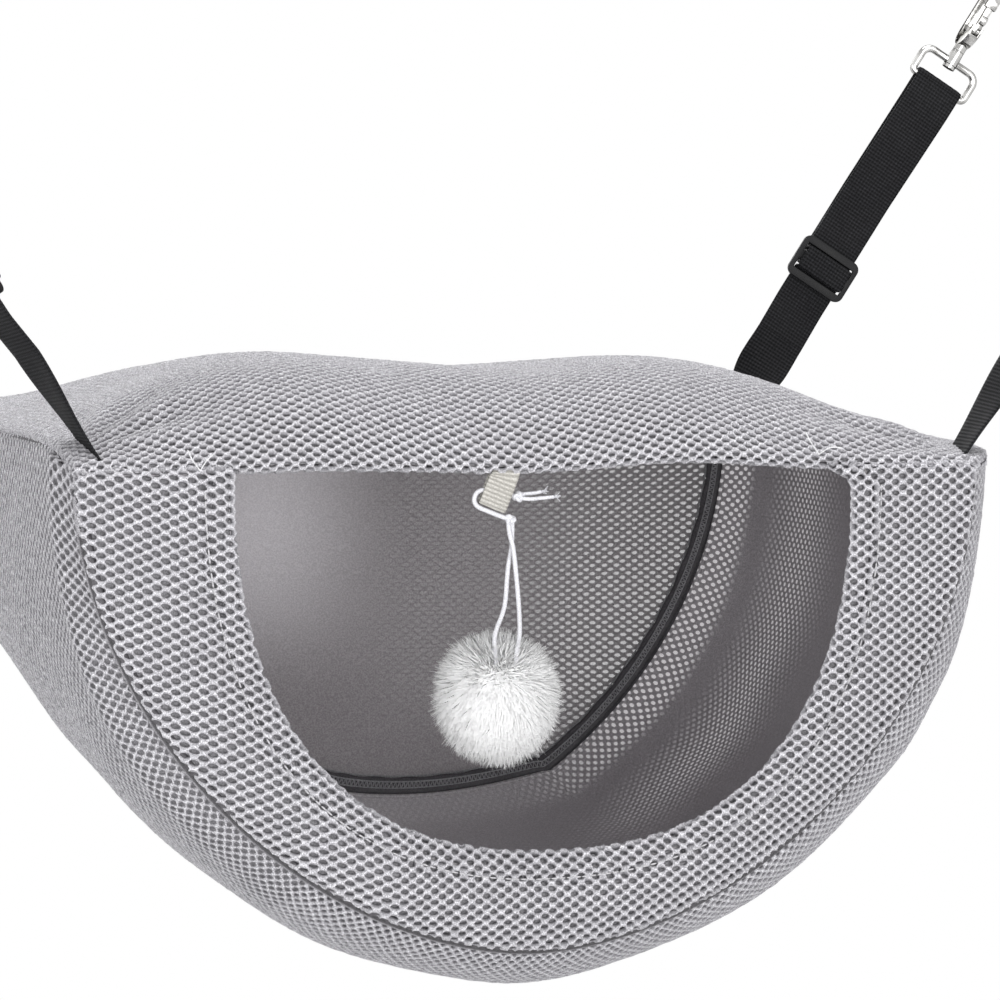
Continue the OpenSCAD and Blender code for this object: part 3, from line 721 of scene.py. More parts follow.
def top_point(q, s):
    edge = puff(s, 8)
    f = top_lift(s) / top_lift(np.linspace(-1, 1, 101)).max()
    spread = np.where(q > 0, RIGHT_SPREAD, LEFT_SPREAD)
    rise = LEFT_RISE + (RIGHT_RISE - LEFT_RISE) * (1 + q) / 2
    dip = TOP_DIP * (1 + np.cos(2 * math.pi * q + math.radians(25))) / 2
    crest = TOP_RISE - rise - dip - TOP_TILT * q
    z = Z_TOP + rise * edge + f * crest * puff(q, 2.4)
    return bundle(q * (HALF_W + spread * edge), s * HALF_D, z)


def mouth_line(t):
    sine = np.maximum(np.sin(t), 0)
    x = MOUTH_SHIFT + MOUTH_W / 2 * curve(np.cos(t), MOUTH_POWER)
    z = Z_EDGE - (MOUTH_H - MESH_T) * curve(sine, MOUTH_POWER)
    below = np.clip(Z_EDGE - z, 0, CORNER_R)
    rounding = CORNER_R - np.sqrt(CORNER_R ** 2 - (CORNER_R - below) ** 2)
    return np.where(t < 1, x - rounding, x), z


def front_face(t, from_mouth):
    """Coordinates on the front panel, and their distance from the mouth, which follows from the whole span."""
    in_x, in_z = mouth_line(t)
    out_x, out_z = seam_line(t, -1.0)
    span = np.hypot(out_x - in_x, out_z - in_z)
    r = from_mouth(span) / span
    y = -HALF_D - PANEL_PUFF * np.sin(math.pi * r) * np.sin(t)
    return in_x + (out_x - in_x) * r, y, in_z + (out_z - in_z) * r, r * span


def arc(points, axis, zero):
    """Length along the cloth from its line number zero."""
    steps = np.linalg.norm(np.diff(points, axis=axis), axis=-1)
    length = np.insert(np.cumsum(steps, axis=axis), 0, 0, axis=axis)
    return length - np.take(length, [zero], axis=axis)


def as_sheet(points, cloth, guess):
    normal = unit(np.cross(np.gradient(points, axis=0), np.gradient(points, axis=1)))
    side = 1.0 if np.sum(normal * guess) > 0 else -1.0
    return {"points": points, "cloth": cloth, "outward": normal * side, "side": side}


def push(sheet, height):
    points = sheet["points"] + sheet["outward"] * height[..., None]
    return as_sheet(points, sheet["cloth"], sheet["outward"])


def turn_edge(sheet, axis, last, radius, angle, reach, steps=6):
    """Carries the cloth on past one edge, where it turns in round a radius and runs on."""
    order = 1 if last else -1
    lines = {key: np.moveaxis(sheet[key], axis, 0)[::order] for key in ("points", "cloth", "outward")}
    points, cloth = lines["points"], lines["cloth"]
    inward = -lines["outward"][-1]
    ahead = points[-1] - points[-2]
    stretch = (cloth[-1] - cloth[-2]) / np.maximum(np.linalg.norm(ahead, axis=-1, keepdims=True), 1e-6)
    ahead = unit(ahead - inward * np.sum(ahead * inward, -1, keepdims=True))
    stops = [(bend, 0.0) for bend in np.radians(np.linspace(angle / steps, angle, steps))]
    stops += [(math.radians(angle), reach * share) for share in (0.5, 1.0)]
    more = {key: [] for key in lines}
    for bend, run in stops:
        sine, cosine = math.sin(bend), math.cos(bend)
        more["points"].append(points[-1] + ahead * (radius * sine + run * cosine)
                              + inward * (radius * (1 - cosine) + run * sine))
        more["outward"].append(ahead * sine - inward * cosine)
        more["cloth"].append(cloth[-1] + stretch * (radius * bend + run))
    for key, line in lines.items():
        made = np.concatenate([line, np.array(more[key])])
        sheet[key] = np.moveaxis(made[::order], 0, axis)


def quads(sheet):
    rows, columns = sheet["points"].shape[:2]
    index = np.arange(rows * columns).reshape(rows, columns)
    faces = bundle(index[:-1, :-1], index[1:, :-1], index[1:, 1:], index[:-1, 1:]).reshape(-1, 4)
    return index, faces[:, ::-1] if sheet["side"] < 0 else faces


def cloth_data(sheet):
    x, y = sheet["cloth"].reshape(-1, 2).T * MM
    return bundle(x, y, 0.0)


def net(name, sheet, share=(0.0, 1.0), axis=0, sides=6, rise=0.4, depth=1.6, wide=1.06):
    """Pierced net over one stretch of a sheet."""
    piece = mesh_piece(name, sheet["points"].reshape(-1, 3), quads(sheet)[1].tolist(),
                       cloth=cloth_data(sheet), outward=sheet["outward"].reshape(-1, 3))
    flat = sheet["cloth"].reshape(-1, 2)
    cell = (PITCH / 2, 2 * ROW)
    first = np.floor(flat.min(0) / cell).astype(int)
    count = np.ceil(flat.max(0) / cell).astype(int) - first + 1
    start, stop = (int(round(count[axis] * part)) for part in share)
    first[axis] += start
    count[axis] = stop - start + (1 if share[1] == 1.0 else 0)
    grow(piece, PIERCED, mesh_thread, pitch=PITCH * MM, row=ROW * MM, hole_width=wide * HOLE_W * MM,
         hole_height=wide * HOLE_H * MM, thread_rise=rise * MM, depth=depth * MM,
         first_column=int(first[0]), first_row=int(first[1]), columns=int(count[0]), rows=int(count[1]),
         sides=sides)
    return dress(piece, "pouch", "air_mesh")


def knit(name, sheet, light, node, material):
    """Inner layer of the air mesh, closed all round."""
    depths = (MESH_T - KNIT_T, MESH_T)
    layers = [(sheet["points"] - sheet["outward"] * depth).reshape(-1, 3) for depth in depths]
    index, face = quads(sheet)
    border = np.concatenate([index[:-1, 0], index[-1, :-1], index[:0:-1, -1], index[0, :0:-1]])
    onward = np.roll(border, -1)
    rim = bundle(border, onward, onward + index.size, border + index.size)
    rim = rim if sheet["side"] < 0 else rim[:, ::-1]
    faces = np.concatenate([face, face[:, ::-1] + index.size, rim])
    light = np.tile(light.reshape(-1, 3), (2, 1))
    # Marks the outer face, which the finish paints in shade
    light[:index.size, 2] = 1.0
    piece = mesh_piece(name, np.vstack(layers), faces.tolist(), material,
                       cloth=np.tile(cloth_data(sheet), (2, 1)), light_through=light)
    return dress(piece, "pouch", "air_mesh", node)


# Panels of the pouch
def front_sheet():
    t = np.radians(np.linspace(0, 180, 201))[:, None]
    share = np.linspace(0, 1, 60)[None, :]
    x, y, z, from_mouth = front_face(t, lambda span: HEM_R + (span - HEM_R - SEAM_GAP) * share)
    hem = HEM_RISE * (1 - smooth_step(from_mouth, HEM_W - 2.5, HEM_W + 2.0))
    hem -= HEM_GROOVE * bell(from_mouth, HEM_W, 1.5)
    left = np.minimum(x + 60, 0)
    cloth = bundle(x - 0.18 * left, z + 0.18 * left)
    return as_sheet(bundle(x, y - hem, z), cloth, (0, -1, 0))


def back_sheet():
    t = np.radians(np.linspace(0, 180, 161))[:, None]
    r = np.linspace(0, OPEN_SHARE, 60)[None, :]
    x, z = seam_line(t, 1.0)
    z = Z_EDGE + (z - Z_EDGE) * r
    y = HALF_D + PANEL_PUFF * np.sin(math.pi * r) * np.sin(t)
    return as_sheet(bundle(x, y, z), bundle(-x, z), (0, 1, 0))


def gusset_sheet():
    t = np.radians(np.linspace(0, 180, 241))[:, None]
    s = OPEN_SHARE * np.sin(np.linspace(-1, 1, 81) * math.pi / 2)[None, :]
    points = gusset_point(t, s)
    cloth = bundle(arc(points, 1, 40), -arc(points, 0, 120).mean(1, keepdims=True))
    sheet = as_sheet(points, cloth, (points - (0, 0, 140)) * (1, 0.1, 1))
    turn, depth = np.degrees(t), s * 100
    fold = 1.6 * bell(turn - 0.04 * depth, 38, 4.0) - 1.4 * bell(turn, 30, 4.0)
    fold += 1.2 * np.cos(turn * 0.21 + depth * 0.03) * np.cos(depth * 0.04)
    fold -= 1.5 * bell(turn + 0.05 * depth, 146, 5.0)
    ridge = 4.5 * bell(s, -0.9, 0.05) * smooth_step(turn, 118, 160)
    return push(sheet, fold * puff(s, 4) + ridge)


def top_sheet():
    q = np.linspace(-0.99, 0.99, 161)[:, None]
    s = np.linspace(-1 + TOP_HEM_R / HALF_D, OPEN_SHARE, 141)[None, :]
    points = top_point(q, s)
    sheet = as_sheet(points, bundle(arc(points, 0, 80), arc(points, 1, 70)), (0, 0, 1))
    x, y = points[..., 0], points[..., 1]
    behind = y + HALF_D
    near_front = np.exp(-behind / 70)
    wrinkle = -2.2 * near_front * bell(x + 0.5 * behind, PULL_X, 14)
    wrinkle += 1.6 * near_front * np.cos((x - PULL_X) * 0.075 + 0.6) * bell(x, PULL_X, 130)
    wrinkle += 1.3 * np.cos(x * 0.045 + y * 0.017) * np.cos(y * 0.03 + 0.4)
    for corner_x, corner_y in ((-196, -183), (196, -183), (-196, 183), (196, 183)):
        off = np.hypot(x - corner_x, y - corner_y)
        way = np.arctan2(np.abs(y - corner_y), np.abs(x - corner_x))
        wrinkle += 2.0 * np.cos(way * 11) * bell(off, 38, 26)
    sheet = push(sheet, wrinkle * puff(s, 12) * puff(q, 12))
    wave = 2.6 * bell(x, 80, 55) - 0.9 * bell(x, PULL_X, 28)
    wave -= 2.5 * smooth_step(x, -155, -115) * (1 - smooth_step(x, 120, 160))
    sheet["points"][..., 2] += wave * np.exp(-behind / 30)
    sheet["cloth"] = sheet["cloth"] + bundle(0.0, 12 * bell(x, PULL_X, 70) * np.exp(-behind / 110))
    return sheet


def add_pouch():
    front, back, gusset, top = front_sheet(), back_sheet(), gusset_sheet(), top_sheet()
    x, z = back["points"][..., 0], back["points"][..., 2]
    # Painted light on the back: lit dots over its right half, strongest far right, and a pale glow on its upper
    # left
    back_painted_lit_dots = 0.34 * smooth_step(x, 0, 50) * smooth_step(z, 70, 110)
    back_painted_lit_dots += 0.66 * smooth_step(x + 0.2 * (200 - z), 85, 145)
    back_painted_light = smooth_step(-x, -45, 40) * smooth_step(z, 90, 190)
    lining = dict(gusset)
    turn_edge(lining, 1, True, 1.0, 2, 2.6)
    t = np.linspace(0, 180, 241)[:, None]
    s = lining["points"][..., 1] / END_Y
    # Painted light on the walls: lit dots near the back seam and further forward, mostly on the right wall, and
    # a paler left wall
    wall_painted_lit_dots = 0.95 * smooth_step(s, 0.88, 0.92)
    wall_painted_lit_dots += 0.8 * bell(s, 0.55, 0.2) * (1 - smooth_step(s, 0.76, 0.84))
    wall_painted_lit_dots *= 1 - 0.9 * smooth_step(t, 40, 64)
    wall_painted_light = 0.35 + 0.4 * smooth_step(t, 95, 130)
    back["cloth"] = back["cloth"] * (1.07, 1.19)
    # Each panel's knit gets its share of painted lit dots and painted pale light
    for name, sheet, painted_lit_dots, painted_pale_light, material in (
            ("front", front, 0.2, 0.1, inner_knit), ("back", back, back_painted_lit_dots, back_painted_light, inner_knit),
            ("gusset", lining, wall_painted_lit_dots, wall_painted_light, wall_knit), ("top", top, 0.3, 0.1, inner_knit)):
        light = bundle(painted_lit_dots, painted_pale_light, 0 * sheet["points"][..., 0])
        knit(name + "_panel_knit", sheet, light, name + "_panel", material)

    for sheet, *edge in (
            (front, 1, False, HEM_R, 180, 10), (front, 1, True, 2.0, 90, 2.5),
            (front, 0, False, 3.0, 60, 3), (front, 0, True, 3.0, 60, 3),
            (back, 1, True, 2.0, 90, 1.2), (back, 1, False, 2.0, 90, 2.5),
            (gusset, 1, False, 2.2, 100, 3), (gusset, 1, True, 2.2, 100, 1.2),
            (gusset, 0, False, 2.0, 90, 2), (gusset, 0, True, 2.0, 90, 2),
            (top, 1, False, TOP_HEM_R, 180, 11, 8), (top, 1, True, 2.0, 90, 2.5),
            (top, 0, False, 2.0, 90, 2.5), (top, 0, True, 2.0, 90, 2.5)):
        turn_edge(sheet, *edge)
    nets = {
        "front": [net("front_panel_net", front, sides=12, rise=0.7, depth=2.0, wide=0.94)],
        "back": [net("back_panel_net", back)],
        "gusset": [net("gusset_panel_net_" + part, gusset, share, 1, rise=0.15, depth=depth, wide=wide)
                   for part, share, depth, wide in (
                       ("left", (0.0, 0.34), 0.5, 1.1), ("bottom", (0.34, 0.66), 1.2, 1.02),
                       ("right", (0.66, 1.0), 1.2, 1.02))],
        "top": [net("top_panel_net_" + part, top, share, rise=0.55)
                for part, share in (("left", (0.0, 0.5)), ("right", (0.5, 1.0)))]}


# Seams
def seam_band(name, base, out, side, node):
    """Overlocked seam allowance along a line."""
    half = SEAM_T / 2
    section = [(0.4, -half), (SEAM_W - 1.4, -half), (SEAM_W - 0.4, -0.6 * half), (SEAM_W, 0),
               (SEAM_W - 0.4, 0.6 * half), (SEAM_W - 1.4, half), (0.4, half), (-4.5, 1.3 * half),
               (-4.5, -1.3 * half)]
    sway = 0.5 * np.sin(np.arange(len(base)) * 0.9)[:, None]
    rings = np.stack([base + out * a + side * (b + sway * max(a, 0) / SEAM_W) for a, b in section], 1)
    band = mesh_piece(name + "_band", rings.reshape(-1, 3), tube_faces(*rings.shape[:2]), seam_cloth)
    fix_normals(band)
    dress(band, "pouch", "seam", node)


def overlock_runs(base, out, side, pitch=2.1):
    """Zig-zag threads on both faces of a seam allowance."""
    route = evenly(base, pitch / 2)[0]
    share = np.linspace(0, 1, len(base))
    at = np.linspace(0, 1, len(route))
    out, side = (unit(bundle(*[np.interp(at, share, values) for values in way.T])) for way in (out, side))
    near, far = 2.8, SEAM_W - 0.6
    zigzag = np.where(np.arange(len(route)) % 2 == 0, near, far)[:, None]
    return [route + out * reach + side * face * (SEAM_T / 2 + 0.1)
            for face in (-1, 1) for reach in (zigzag, near, far)]


def add_seams():
    inner = MESH_T + 0.3
    bands = []
    for name, s, first in (("front_seam", -1.0, 8), ("back_seam", 1.0, 4)):
        t = np.radians(np.linspace(first, 180 - first, 220))
        out_x, out_z = seam_out(t)
        x, z = seam_line(t, s)
        base = bundle(x - inner * out_x, s * (HALF_D - inner), z - inner * out_z)
        bands.append((name, base, bundle(-out_x, -s, -out_z), bundle(-out_x, s, -out_z), name))
    x = np.linspace(-170, 170, 120)
    base = bundle(x, HALF_D - inner, Z_TOP - inner)
    bands.append(("top_back_seam", base, bundle(0 * x, -1, -1), bundle(0 * x, 1, -1), "top_back_seam"))
    s = np.linspace(-0.78, 0.78, 120)
    for word, way in (("left", -1.0), ("right", 1.0)):
        base = top_point(way, s) - (way * (inner + 0.6), 0, inner + 0.6)
        bands.append(("top_side_seam_" + word, base, bundle(0 * s - way, 0, -1), bundle(0 * s + way, 0, -1),
                      "top_side_seams"))
    runs = []
    for name, base, out, side, node in bands:
        out, side = unit(out), unit(side)
        seam_band(name, base, out, side, node)
        runs += overlock_runs(base, out, side)
    sew("overlock_thread", runs, THREAD, edge_thread, radius=0.0004, step=0.0012, sides=5)

    t = np.radians(np.linspace(3, 177, 400))
    out_x, out_z = seam_out(t)
    stitched = []
    for name, s, cloth, radius in (("front", -1.0, folded_cloth, 1.7), ("back", 1.0, seam_cloth, 1.2)):
        x, z = seam_line(t, s)
        line = bundle(x - 0.9 * out_x, s * (END_Y + 0.6), z - 0.9 * out_z)
        sew("seam_groove_" + name, [line], THREAD, cloth, radius=radius * MM, step=0.002, sides=8)
        stitched.append(line + (0, 1.9 * s, 0))
    # Dark stitches in the seam line: sewing thread, made dark so that it also paints the shade of the seam's
    # crevice
    sew("seam_stitches", stitched, STITCH, seam_thread, pitch=0.004, length=0.0038, thickness=0.0011)
    x, y, z, _ = front_face(np.radians(np.linspace(2, 178, 300)), lambda span: HEM_W)
    sew("mouth_hem_stitches", [bundle(x, y - 0.2, z)], STITCH, hem_thread, pitch=0.0034, length=0.0031,
        thickness=0.0008)


# Straps
def strap_axes(place):
    """Origin at the strap's foot, then its width, outward and upward directions."""
    along = np.array(joints["strap_adjust_" + place]["axis"])
    width = np.array(joints["ring_tilt_" + place]["axis"])
    hand = -1 if "left" in place else 1
    origin = np.array(joints["strap_adjust_" + place]["pos_m"]) / MM - SLIDER_UP * along
    return origin, width, hand * np.cross(along, width), along


def band_mesh(routes, width, thick, lanes):
    """Flat bands with soft edges, along routes of centre, width direction, outward direction and length."""
    x = np.linspace(-0.5, 0.5, lanes) * width
    half = thick / 2 * np.sqrt(np.clip(1 - np.abs(2 * x / (width + 0.5)) ** 12, 0, 1))
    half[[0, -1]] = thick * 0.28
    x = np.concatenate([x, x[::-1]])
    rise = np.concatenate([half, -half[::-1]])
    ribbed = np.where(np.abs(x) > width / 2 - 1.2, 0.25, 1.0)
    points, faces, cloth, outward = [], [], [], []
    first = 0
    for centre, side, out, along in routes:
        lines = centre[:, None] + side[:, None] * x[:, None] + out[:, None] * rise[:, None]
        points.append(lines.reshape(-1, 3))
        outward.append((out[:, None] * np.sign(rise)[:, None]).reshape(-1, 3))
        cloth.append(bundle(x * MM, along[:, None] * MM, ribbed).reshape(-1, 3))
        index = first + np.arange(len(centre) * len(x)).reshape(len(centre), len(x))
        onward = np.roll(index, -1, 1)
        faces.append(bundle(index[:-1], onward[:-1], onward[1:], index[1:]).reshape(-1, 4))
        for row, way in ((index[0], -1), (index[-1], 1)):
            over, under = row[:lanes], row[::-1][:lanes]
            faces.append(bundle(over[:-1], over[1:], under[1:], under[:-1])[:, ::way])
        first += index.size
    return np.vstack(points), np.vstack(faces).tolist(), np.vstack(cloth), np.vstack(outward)


def band_route(axes, path, step, ease):
    """Even steps along a flat path of height and offset, with its corners eased."""
    origin, width, outward, upward = axes
    flat, along = evenly(np.array(path, float), step)
    if ease:
        pad = np.pad(flat, ((ease, ease), (0, 0)), mode="reflect", reflect_type="odd")
        window = np.ones(2 * ease + 1) / (2 * ease + 1)
        flat = bundle(*[np.convolve(values, window, "valid") for values in pad.T])
    ahead = unit(np.gradient(flat, axis=0))
    centre = origin + flat[:, :1] * upward + flat[:, 1:] * outward
    out = ahead[:, :1] * outward - ahead[:, 1:] * upward
    return centre, np.broadcast_to(width, centre.shape), out, along


def woven_band(name, routes, material, width, thick, lanes, rib, height, warp):
    points, faces, cloth, outward = band_mesh(routes, width, thick, lanes)
    piece = mesh_piece(name, points, faces, cloth=cloth, outward=outward)
    grow(piece, RIBS, material, rib=rib * MM, height=height * MM, warp=warp * MM)
    fix_normals(piece)
    return piece


def webbing(name, routes):
    return woven_band(name, routes, webbing_black, STRAP_W, STRAP_T, 17, RIB, 0.13, WARP)


def softened(node, bevel, material, name):
    """A rigid CAD node with its edges rounded."""
    made = bmesh.new()
    made.from_mesh(frame["nodes"][node].data)
    bmesh.ops.remove_doubles(made, verts=made.verts, dist=2e-6)
    bmesh.ops.dissolve_limit(made, angle_limit=math.radians(1), verts=made.verts, edges=made.edges)
    mesh = bpy.data.meshes.new(name)
    made.to_mesh(mesh)
    made.free()
    piece = add_object(name, mesh)
    edge = piece.modifiers.new("rounded_edges", "BEVEL")
    edge.width = bevel * MM
    edge.segments = 3
    edge.limit_method = "ANGLE"
    edge.angle_limit = math.radians(35)
    keep_result(piece, edge)
    piece.data.polygons.foreach_set("use_smooth", [True] * len(piece.data.polygons))
    piece.data.set_sharp_from_angle(angle=math.radians(40))
    piece.data.materials.clear()
    piece.data.materials.append(material)
    return piece


def add_strap(place):
    axes = strap_axes(place)
    origin, width, outward, upward = axes
    step = RIB / 4
    slider, loop = "slider_" + place, "loop_" + place
    low, high = SLIDER_UP - SLIDER_REACH, SLIDER_UP + SLIDER_REACH

    def stretch(part, ease, paths, near, far, start, end):
        """Webbing that reaches from one body to another, made where it rests."""
        routes = [band_route(axes, path, step, ease) for path in paths]
        band = webbing("strap_%s_webbing_%s" % (part, place), routes)
        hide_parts("strap_%s_run_%s" % (part, place))
        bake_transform(band)

    turn_to = math.radians(CORNERS[place])
    level = width * math.cos(turn_to) - outward * math.sin(turn_to)
    across = width * math.sin(turn_to) + outward * math.cos(turn_to)
    z = np.linspace(-FOOT_ROOT, ANCHOR_L, int((ANCHOR_L + FOOT_ROOT) / step))
    ease = (1 - np.cos(math.pi * np.clip(z / ANCHOR_L, 0, 1))) / 2
    turn = (math.pi / 2 + (turn_to - math.pi / 2) * ease)[:, None]
    side = level * np.cos(turn) + across * np.sin(turn)
    out = -level * np.sin(turn) + across * np.cos(turn)
    foot = [(origin + z[:, None] * upward, side, out, z)]
    dress(webbing("strap_foot_webbing_" + place, foot), "pouch", "webbing", "strap_anchor_" + place)
    stretch("lower", 6, [[(ANCHOR_L, 0), (low - 5, RUN_OFF), (low, RUN_OFF)]], "pouch", slider, ANCHOR_L, low)

    running = [(-SLIDER_REACH, RUN_OFF), (-SLOT_UP, RUN_OFF), (-SLOT_UP, OVER_BAR), (SLOT_UP, OVER_BAR),
               (SLOT_UP, RUN_OFF), (SLIDER_REACH, RUN_OFF)]
    sewn = [(SEWN_UP, END_OFF), (-3, END_OFF), (-3, 2.2), (3, 2.2), (3, -3.9), (29, -3.9)]
    weave = webbing("strap_slider_webbing_" + place, [
        band_route(axes, [(SLIDER_UP + up, off) for up, off in path], step, 3) for path in (running, sewn)])
    dress(weave, slider, "webbing", "strap_weave_" + place)
    corners = [origin + (SLIDER_UP + up) * upward + BOX_OFF * outward + inset * width
               for up in BOX_UP for inset in (-BOX_HALF_W, BOX_HALF_W)]
    lines = ((0, 1), (2, 3), (0, 2), (1, 3), (0, 3), (1, 2))
    box = [np.linspace(corners[a], corners[b], 12) for a, b in lines]
    sew("strap_sewing_" + place, box, STITCH, seam_thread, slider, "webbing", pitch=0.0026, length=0.0022,
        thickness=0.0006)

    layers = [[(from_up, off), (PART_FROM, off), (PART_TO, bend), (RING_UP, bend)] for from_up, off, bend in (
        (high, RUN_OFF, BEND_R), (SLIDER_UP + SEWN_UP, END_OFF, -BEND_R))]
    stretch("upper", 8, layers, slider, loop, GROW_FROM, GROW_TO)
    angle = np.linspace(0, math.pi, 24)
    path = bundle(RING_UP + BEND_R * np.sin(angle), BEND_R * np.cos(angle))
    dress(webbing("strap_bend_webbing_" + place, [band_route(axes, path, step, 0)]), loop, "webbing",
          "strap_bend_" + place)

    for part, word, bevel, material, slot in (
            ("slider_", "moulding_", 0.7, plastic_black, "slider_plastic"),
            ("ring_", "casting_", 0.35, nickel, "nickel"), ("hook_", "casting_", 0.9, nickel, "nickel"),
            ("gate_", "casting_", 0.45, nickel, "nickel")):
        node = part + place
        dress(softened(node, bevel, material, part + word + place), node, slot, node)
    for part in ("gate_pin_", "gate_spring_"):
        node = frame["nodes"][part + place]
        node.data.materials.clear()
        node.data.materials.append(nickel)


# Toy
def cord_piece(name, route):
    data = bpy.data.curves.new(name, "CURVE")
    data.dimensions = "3D"
    data.bevel_depth = CORD_D / 2 * MM
    data.bevel_resolution = 3
    data.use_fill_caps = True
    spline = data.splines.new("POLY")
    spline.points.add(len(route) - 1)
    for point, place in zip(spline.points, route):
        point.co = (*(place * MM), 1.0)
    spline.use_smooth = True
    data.materials.append(elastic_white)
    return add_object(name, data)


def knot_tube(centre, radius, turn):
    t = np.linspace(0, 2 * math.pi, 60, endpoint=False)
    p = bundle(np.sin(t) + 2 * np.sin(2 * t), -np.sin(3 * t) * 1.6, np.cos(t) - 2 * np.cos(2 * t))
    p = p * (radius - 0.85) / 3
    p = p @ np.array(Matrix.Rotation(turn, 3, "Y")).T
    return tube(centre + p, KNOT_CORD_R, 8, True)


def add_toy():
    hitch_route = smooth_route([
        (4.6, 0, -10.8), (1, 0, -10.1), (-3, 0, -9.3), (-6.8, 0, -8.4), (-10, 0, -7.9), (-12.8, -0.3, -9.1),
        (-14, -0.6, -11.9), (-13.3, -0.9, -14.2), (-11.5, -1, -15.6), (-7.8, -1, -17.1), (-3.6, -1, -18.8),
        (0, -0.6, -20.1), (2, 0, -20.6)], 5) + TOY
    cord_route = smooth_route([
        (1.2, 0, -21.4), (1.6, -1, -27), (3, -1.5, -33), (4.2, -1.5, -43), (4.9, -4, -58), (3.7, -10, -69.5),
        (0.6, -16, -78), (0.6, -16.5, -82), (-0.7, -15, -85.1), (-3.8, -14, -86.4), (-6.9, -15, -85.1),
        (-8.2, -16.5, -82), (-8.3, -15.6, -78), (-7.2, -10, -69.5), (-1.2, -3, -58), (1.1, 0.6, -43),
        (3, 1.5, -33), (3.2, 1, -27), (3, 0, -21.4)], 4) + TOY
    hitch = dress(cord_piece("toy_hitch_cord", hitch_route), "toy_hitch", "elastic", "toy_hitch")
    loop = dress(cord_piece("toy_loop_cord", cord_route), "pompom", "elastic", "toy_cord")

    tails = [smooth_route(route, 6) + TOY for route in (
        [(6.4, 0.3, -10.4), (7.9, 0.6, -10), (10, 0.4, -9.7), (12.8, 0, -9.5), (15.8, -0.4, -8.9)],
        [(6.6, -0.4, -11.4), (8.3, -1, -11.8), (11.4, -1.6, -11.9), (16, -2.4, -11.5), (20.8, -2.6, -11.1)])]
    parts = [knot_tube(TOY + (2, 0, -20.8), 2.7, 0.3), knot_tube(TOY + (5.4, 0, -11), 2.6, 1.4)]
    parts += [tube(tail, np.linspace(KNOT_CORD_R, 0.8, len(tail)), 8) for tail in tails]
    knot = mesh_piece("toy_knot_cord", *joined(parts), elastic_white)
    fix_normals(knot)
    dress(knot, "toy_hitch", "elastic", "toy_knot")
    frays = []
    chance = np.random.default_rng(5)
    for tail in tails:
        end, ahead = tail[-1], unit(tail[-1] - tail[-4])
        for _ in range(26):
            spread = chance.normal(0, 0.42, 3)
            reach = chance.uniform(1.0, 2.4)
            frays.append(np.stack([end - 1.2 * ahead, end + reach * 0.4 * (ahead + 0.4 * spread),
                                   end + reach * (ahead + spread)]))
    fray = sew("toy_cord_frays", frays, THREAD, elastic_white, "toy_hitch", "elastic", radius=0.00016,
               step=0.0012, sides=4)

    middle = (TOY + (-4, 0, -97.5)) * MM
    ball = grow(mesh_piece("pompom_fur", [[0, 0, 0]], []), FUR, fur_white, centre=tuple(middle), core=0.0195,
                strand=0.012, width=0.0005, count=46000, tuft=0.6, comb=0.62, parting=(0.0, -0.34, 0.94),
                seed=7)
    places = np.array([vertex.co for vertex in ball.data.vertices])
    ball.data.normals_split_custom_set_from_vertices(unit(places - middle).tolist())
    dress(ball, "pompom", "pompom_fur", "pompom")

    lean = math.radians(22)
    axes = (TOY, np.array([math.cos(lean), 0, -math.sin(lean)]), np.array([0, 1.0, 0]),
            np.array([math.sin(lean), 0, math.cos(lean)]))
    angle = np.linspace(0, math.pi, 14)
    half_gap = 1.7
    fold = bundle(-15.0 - half_gap * np.sin(angle), -half_gap * np.cos(angle))
    path = np.vstack([[(1.0, -half_gap)], fold, [(1.0, half_gap)]])
    centre, side, out, along = band_route(axes, path, 0.3, 2)
    level = smooth_step(centre[:, 2:] - TOY[2], -5.0, 0.5)
    side = unit(side + level * ((1, 0, 0) - side))
    tab = woven_band("toy_tab_ribbon", [(centre, side, out, along)], ribbon_cream, width=12.5, thick=0.8,
                     lanes=11, rib=1.8, height=0.22, warp=9.0)
    dress(tab, "pouch", "ribbon", "toy_tab")


# Loose thread ends where the hems were sewn
def add_whiskers():
    runs = [
        [(-146, -200, 229), (-150, -202.5, 234), (-152, -203, 238)],
        [(-146, -200, 229), (-144, -202.5, 233), (-141, -203, 236)],
        [(128, -199, 233), (124, -201, 238), (121, -201.5, 243)],
        [(128, -199, 233), (132, -202, 236), (137, -203, 236)]]
    sew("loose_thread_ends", [smooth_route(run, 4) for run in runs], THREAD, top_thread, radius=0.0003,
        step=0.001, sides=5)


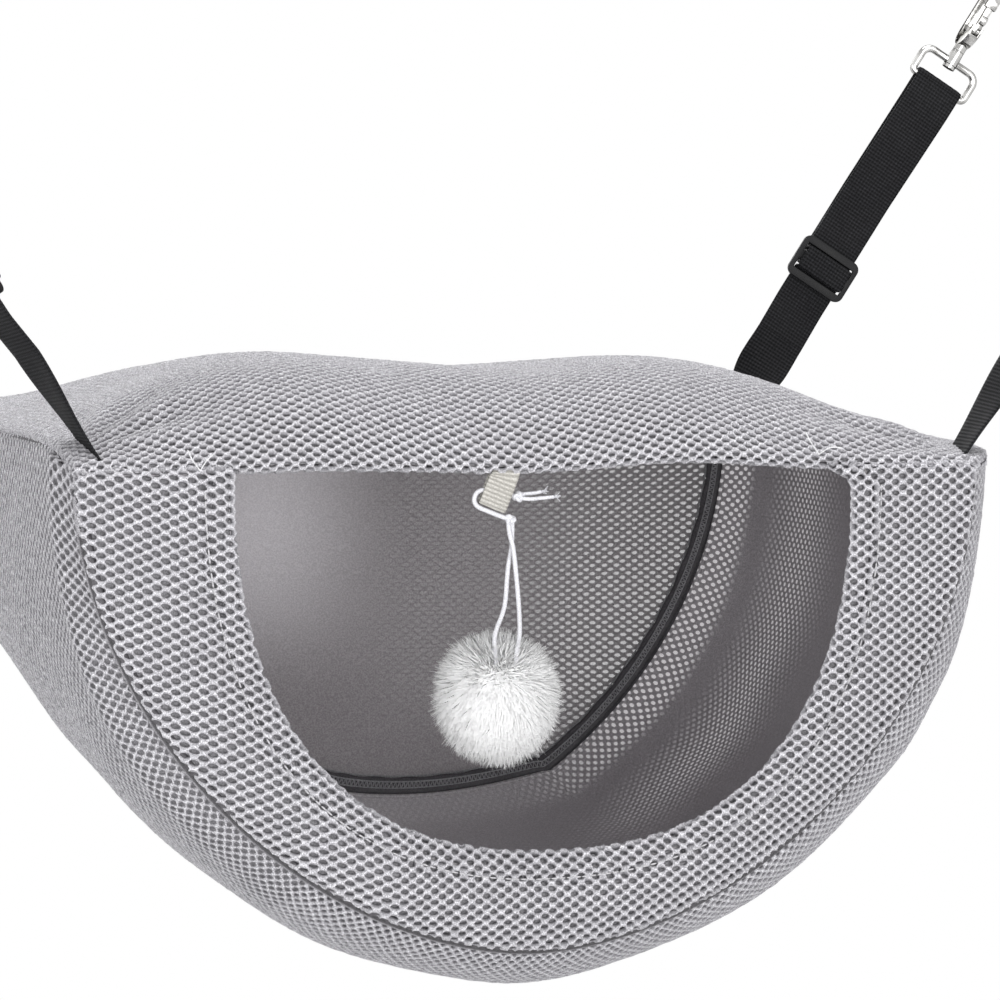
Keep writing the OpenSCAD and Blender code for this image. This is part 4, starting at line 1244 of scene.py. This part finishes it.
# Floor, background and lights
def add_stage():
    floor_radius, floor_z, floor_sides = 1600.0, -320.0, 96
    white = {"Color": (1, 1, 1, 1), "Strength": 1.0}
    material = bpy.data.materials.new("pale_floor")
    material.use_nodes = True
    tree = Wire.tree = material.node_tree
    shader = tree.nodes["Principled BSDF"]
    place = put("TexCoord", out="Object")
    noise = put("TexNoise", Vector=place, Scale=3.0, Detail=3.0)
    link(blend(noise, (0.8, 0.8, 0.8), (0.84, 0.84, 0.84)), shader.inputs["Base Color"])
    shader.inputs["Roughness"].default_value = 0.8
    fade = put("MapRange", Value=length_of(place), From_Min=0.7, From_Max=1.5,
               interpolation_type="SMOOTHSTEP")
    mixed = put("MixShader", {0: fade, 1: Wire(shader.outputs[0]), 2: put("Emission", white)})
    link(mixed, tree.nodes["Material Output"].inputs["Surface"])
    turn = np.linspace(0, 2 * math.pi, floor_sides, endpoint=False)
    rim = bundle(floor_radius * np.cos(turn), floor_radius * np.sin(turn), floor_z)
    floor = mesh_piece("floor", rim, [tuple(range(floor_sides))], material)

    world = bpy.data.worlds.new("studio")
    world.use_nodes = True
    scene.world = world
    tree = Wire.tree = world.node_tree
    soft = tree.nodes["Background"]
    soft.inputs["Color"].default_value = (1, 1, 1, 1)
    soft.inputs["Strength"].default_value = 0.45
    path = outlets(put("LightPath", out=None))
    seen = calc("MAXIMUM", path["Is Camera Ray"], calc(
        "MAXIMUM", path["Is Glossy Ray"], path["Is Transmission Ray"]))
    mixed = put("MixShader", {0: seen, 1: Wire(soft.outputs[0]), 2: put("Background", white)})
    link(mixed, tree.nodes["World Output"].inputs["Surface"])

    aim = Vector((0, 0, 0.15))
    for name, place, size, energy in (
            ("key", (1.0, -2.9, 1.1), 1.8, 46.0), ("front", (-0.5, -3.1, -0.15), 2.0, 64.0),
            ("left", (-2.4, -1.2, 0.8), 1.6, 28.0), ("overhead", (0.1, 0.2, 2.4), 1.6, 30.0),
            ("behind", (-0.3, 2.4, 1.1), 1.4, 20.0)):
        data = bpy.data.lights.new(name, "AREA")
        data.energy = energy
        data.size = size
        lamp = add_object(name, data)
        lamp.location = place
        lamp.rotation_euler = (aim - Vector(place)).to_track_quat("-Z", "Y").to_euler()


add_camera()
add_toy()
add_pouch()
add_seams()
for corner in CORNERS:
    add_strap(corner)
add_whiskers()
add_stage()
